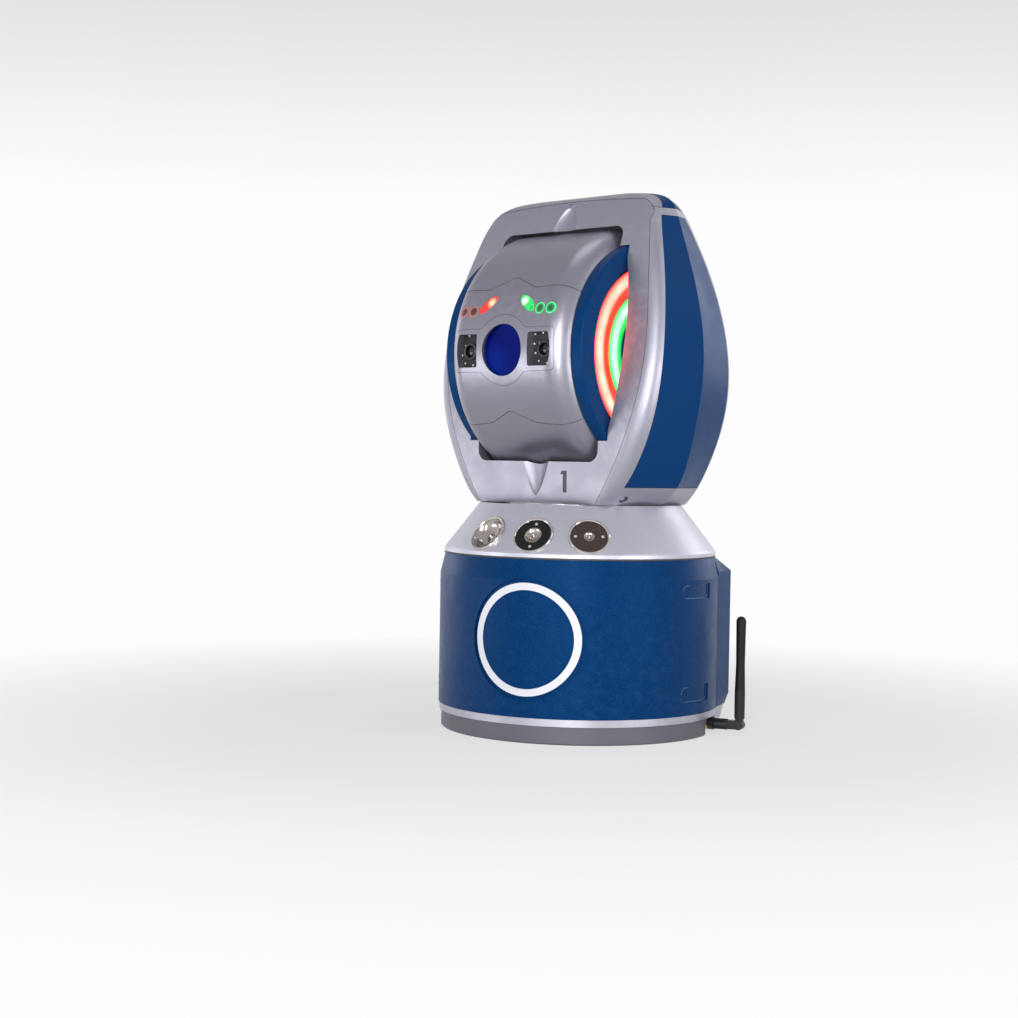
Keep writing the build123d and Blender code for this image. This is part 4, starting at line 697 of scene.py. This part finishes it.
def make_lights():
    """Soft studio light. Places are seen from the camera: x to its right, y away from it."""
    turn = Matrix.Rotation(CAMERA_TURN, 3, "Z")
    middle = Vector((0.0, 0.0, 0.20))
    for name, place, size, power in (
            ("low_left", (-1.20, -0.30, 0.12), (0.6, 0.25), 2.0),
            ("front", (0.0, -1.9, 0.65), (0.8, 0.6), 2.5),
            ("low_right_front", (0.95, -0.90, 0.28), (0.5, 0.6), 5.0),
            ("rim_right", (1.05, 0.80, 0.60), (0.4, 0.7), 3.0),
            ("high_right", (1.05, -0.35, 1.0), (0.5, 0.6), 1.0),
            ("strip_left", (-0.80, -1.50, 0.40), (0.25, 0.9), 6.0),
            ("strip_front", (-0.10, -1.75, 0.42), (0.20, 0.9), 15.0),
            ("rim_left", (-1.05, 0.80, 0.35), (0.4, 0.7), 1.5),
            ("top", (0.0, 0.1, 1.6), (0.7, 0.6), 2.0)):
        area_light(name, turn @ Vector(place), middle, size, power)


def mirror_rays(tree, path):
    """One for rays that a mirror or a glass sends on."""
    return linked_math(tree, "MAXIMUM", path.outputs["Is Glossy Ray"],
                      path.outputs["Is Transmission Ray"])


def mix_shader(tree, fac, first, second):
    node = tree.nodes.new("ShaderNodeMixShader")
    tree.links.new(fac, node.inputs["Fac"])
    tree.links.new(first, node.inputs[1])
    tree.links.new(second, node.inputs[2])
    return node.outputs[0]


def make_world():
    """Sky for three kinds of ray: dim for diffuse ones, pale for mirrors and the camera."""
    world = bpy.data.worlds.new("studio")
    bpy.context.scene.world = world
    world.use_nodes = True
    tree = world.node_tree
    tree.nodes.clear()
    out = tree.nodes.new("ShaderNodeOutputWorld")
    path = tree.nodes.new("ShaderNodeLightPath")
    camera, mirror, diffuse = (tree.nodes.new("ShaderNodeBackground") for _ in range(3))
    height = split_xyz(tree, tree.nodes.new("ShaderNodeTexCoord").outputs["Generated"])["Z"]
    # towards the zenith the seen backdrop falls off to grey
    tone = ramp(tree, height, [(0.14, (BACKDROP_WHITE,) * 3), (0.30, (BACKDROP_GREY,) * 3)])
    tree.links.new(tone, camera.inputs["Color"])
    tree.links.new(ramp(tree, height, [(0.15, LOW_SKY), (0.65, HIGH_SKY)]),
                   mirror.inputs["Color"])
    diffuse.inputs["Color"].default_value = (*DIFFUSE_SKY, 1.0)
    inner = mix_shader(tree, mirror_rays(tree, path), diffuse.outputs[0], mirror.outputs[0])
    outer = mix_shader(tree, path.outputs["Is Camera Ray"], inner, camera.outputs[0])
    tree.links.new(outer, out.inputs["Surface"])


def floor_paper():
    """Pale paper: lit where the object stands, its own brightness further off."""
    mat = bpy.data.materials.new("floor_paper")
    mat.use_nodes = True
    tree = mat.node_tree
    tree.nodes.clear()
    out = tree.nodes.new("ShaderNodeOutputMaterial")
    length = tree.nodes.new("ShaderNodeVectorMath")
    length.operation = "LENGTH"
    tree.links.new(object_coords(tree), length.inputs[0])
    own = tree.nodes.new("ShaderNodeEmission")
    own.inputs["Color"].default_value = (BACKDROP_WHITE, BACKDROP_WHITE, BACKDROP_WHITE, 1.0)
    paper = tree.nodes.new("ShaderNodeBsdfDiffuse")
    paper.inputs["Color"].default_value = (PAPER, PAPER, PAPER, 1.0)
    path = tree.nodes.new("ShaderNodeLightPath")
    far = spread(tree, length.outputs["Value"], NEAR_FLOOR, FAR_FLOOR, NEAR_GLOW, 1.0)
    seen = linked_math(tree, "MAXIMUM", path.outputs["Is Camera Ray"], mirror_rays(tree, path))
    amount = linked_math(tree, "MULTIPLY", far, seen)
    tree.links.new(mix_shader(tree, amount, paper.outputs[0], own.outputs[0]),
                   out.inputs["Surface"])
    return mat


def make_floor():
    bpy.ops.mesh.primitive_circle_add(vertices=96, radius=FLOOR_R, fill_type="NGON",
                                      location=(0, 0, 0))
    floor = bpy.context.object
    floor.name = "paper_floor"
    floor.data.materials.append(floor_paper())


finish_nodes()
numerals()
camera_details()
seals()
catch_edges()
port_screw()
make_camera()
make_lights()
make_world()
make_floor()

bpy.context.scene.view_settings.view_transform = "Standard"
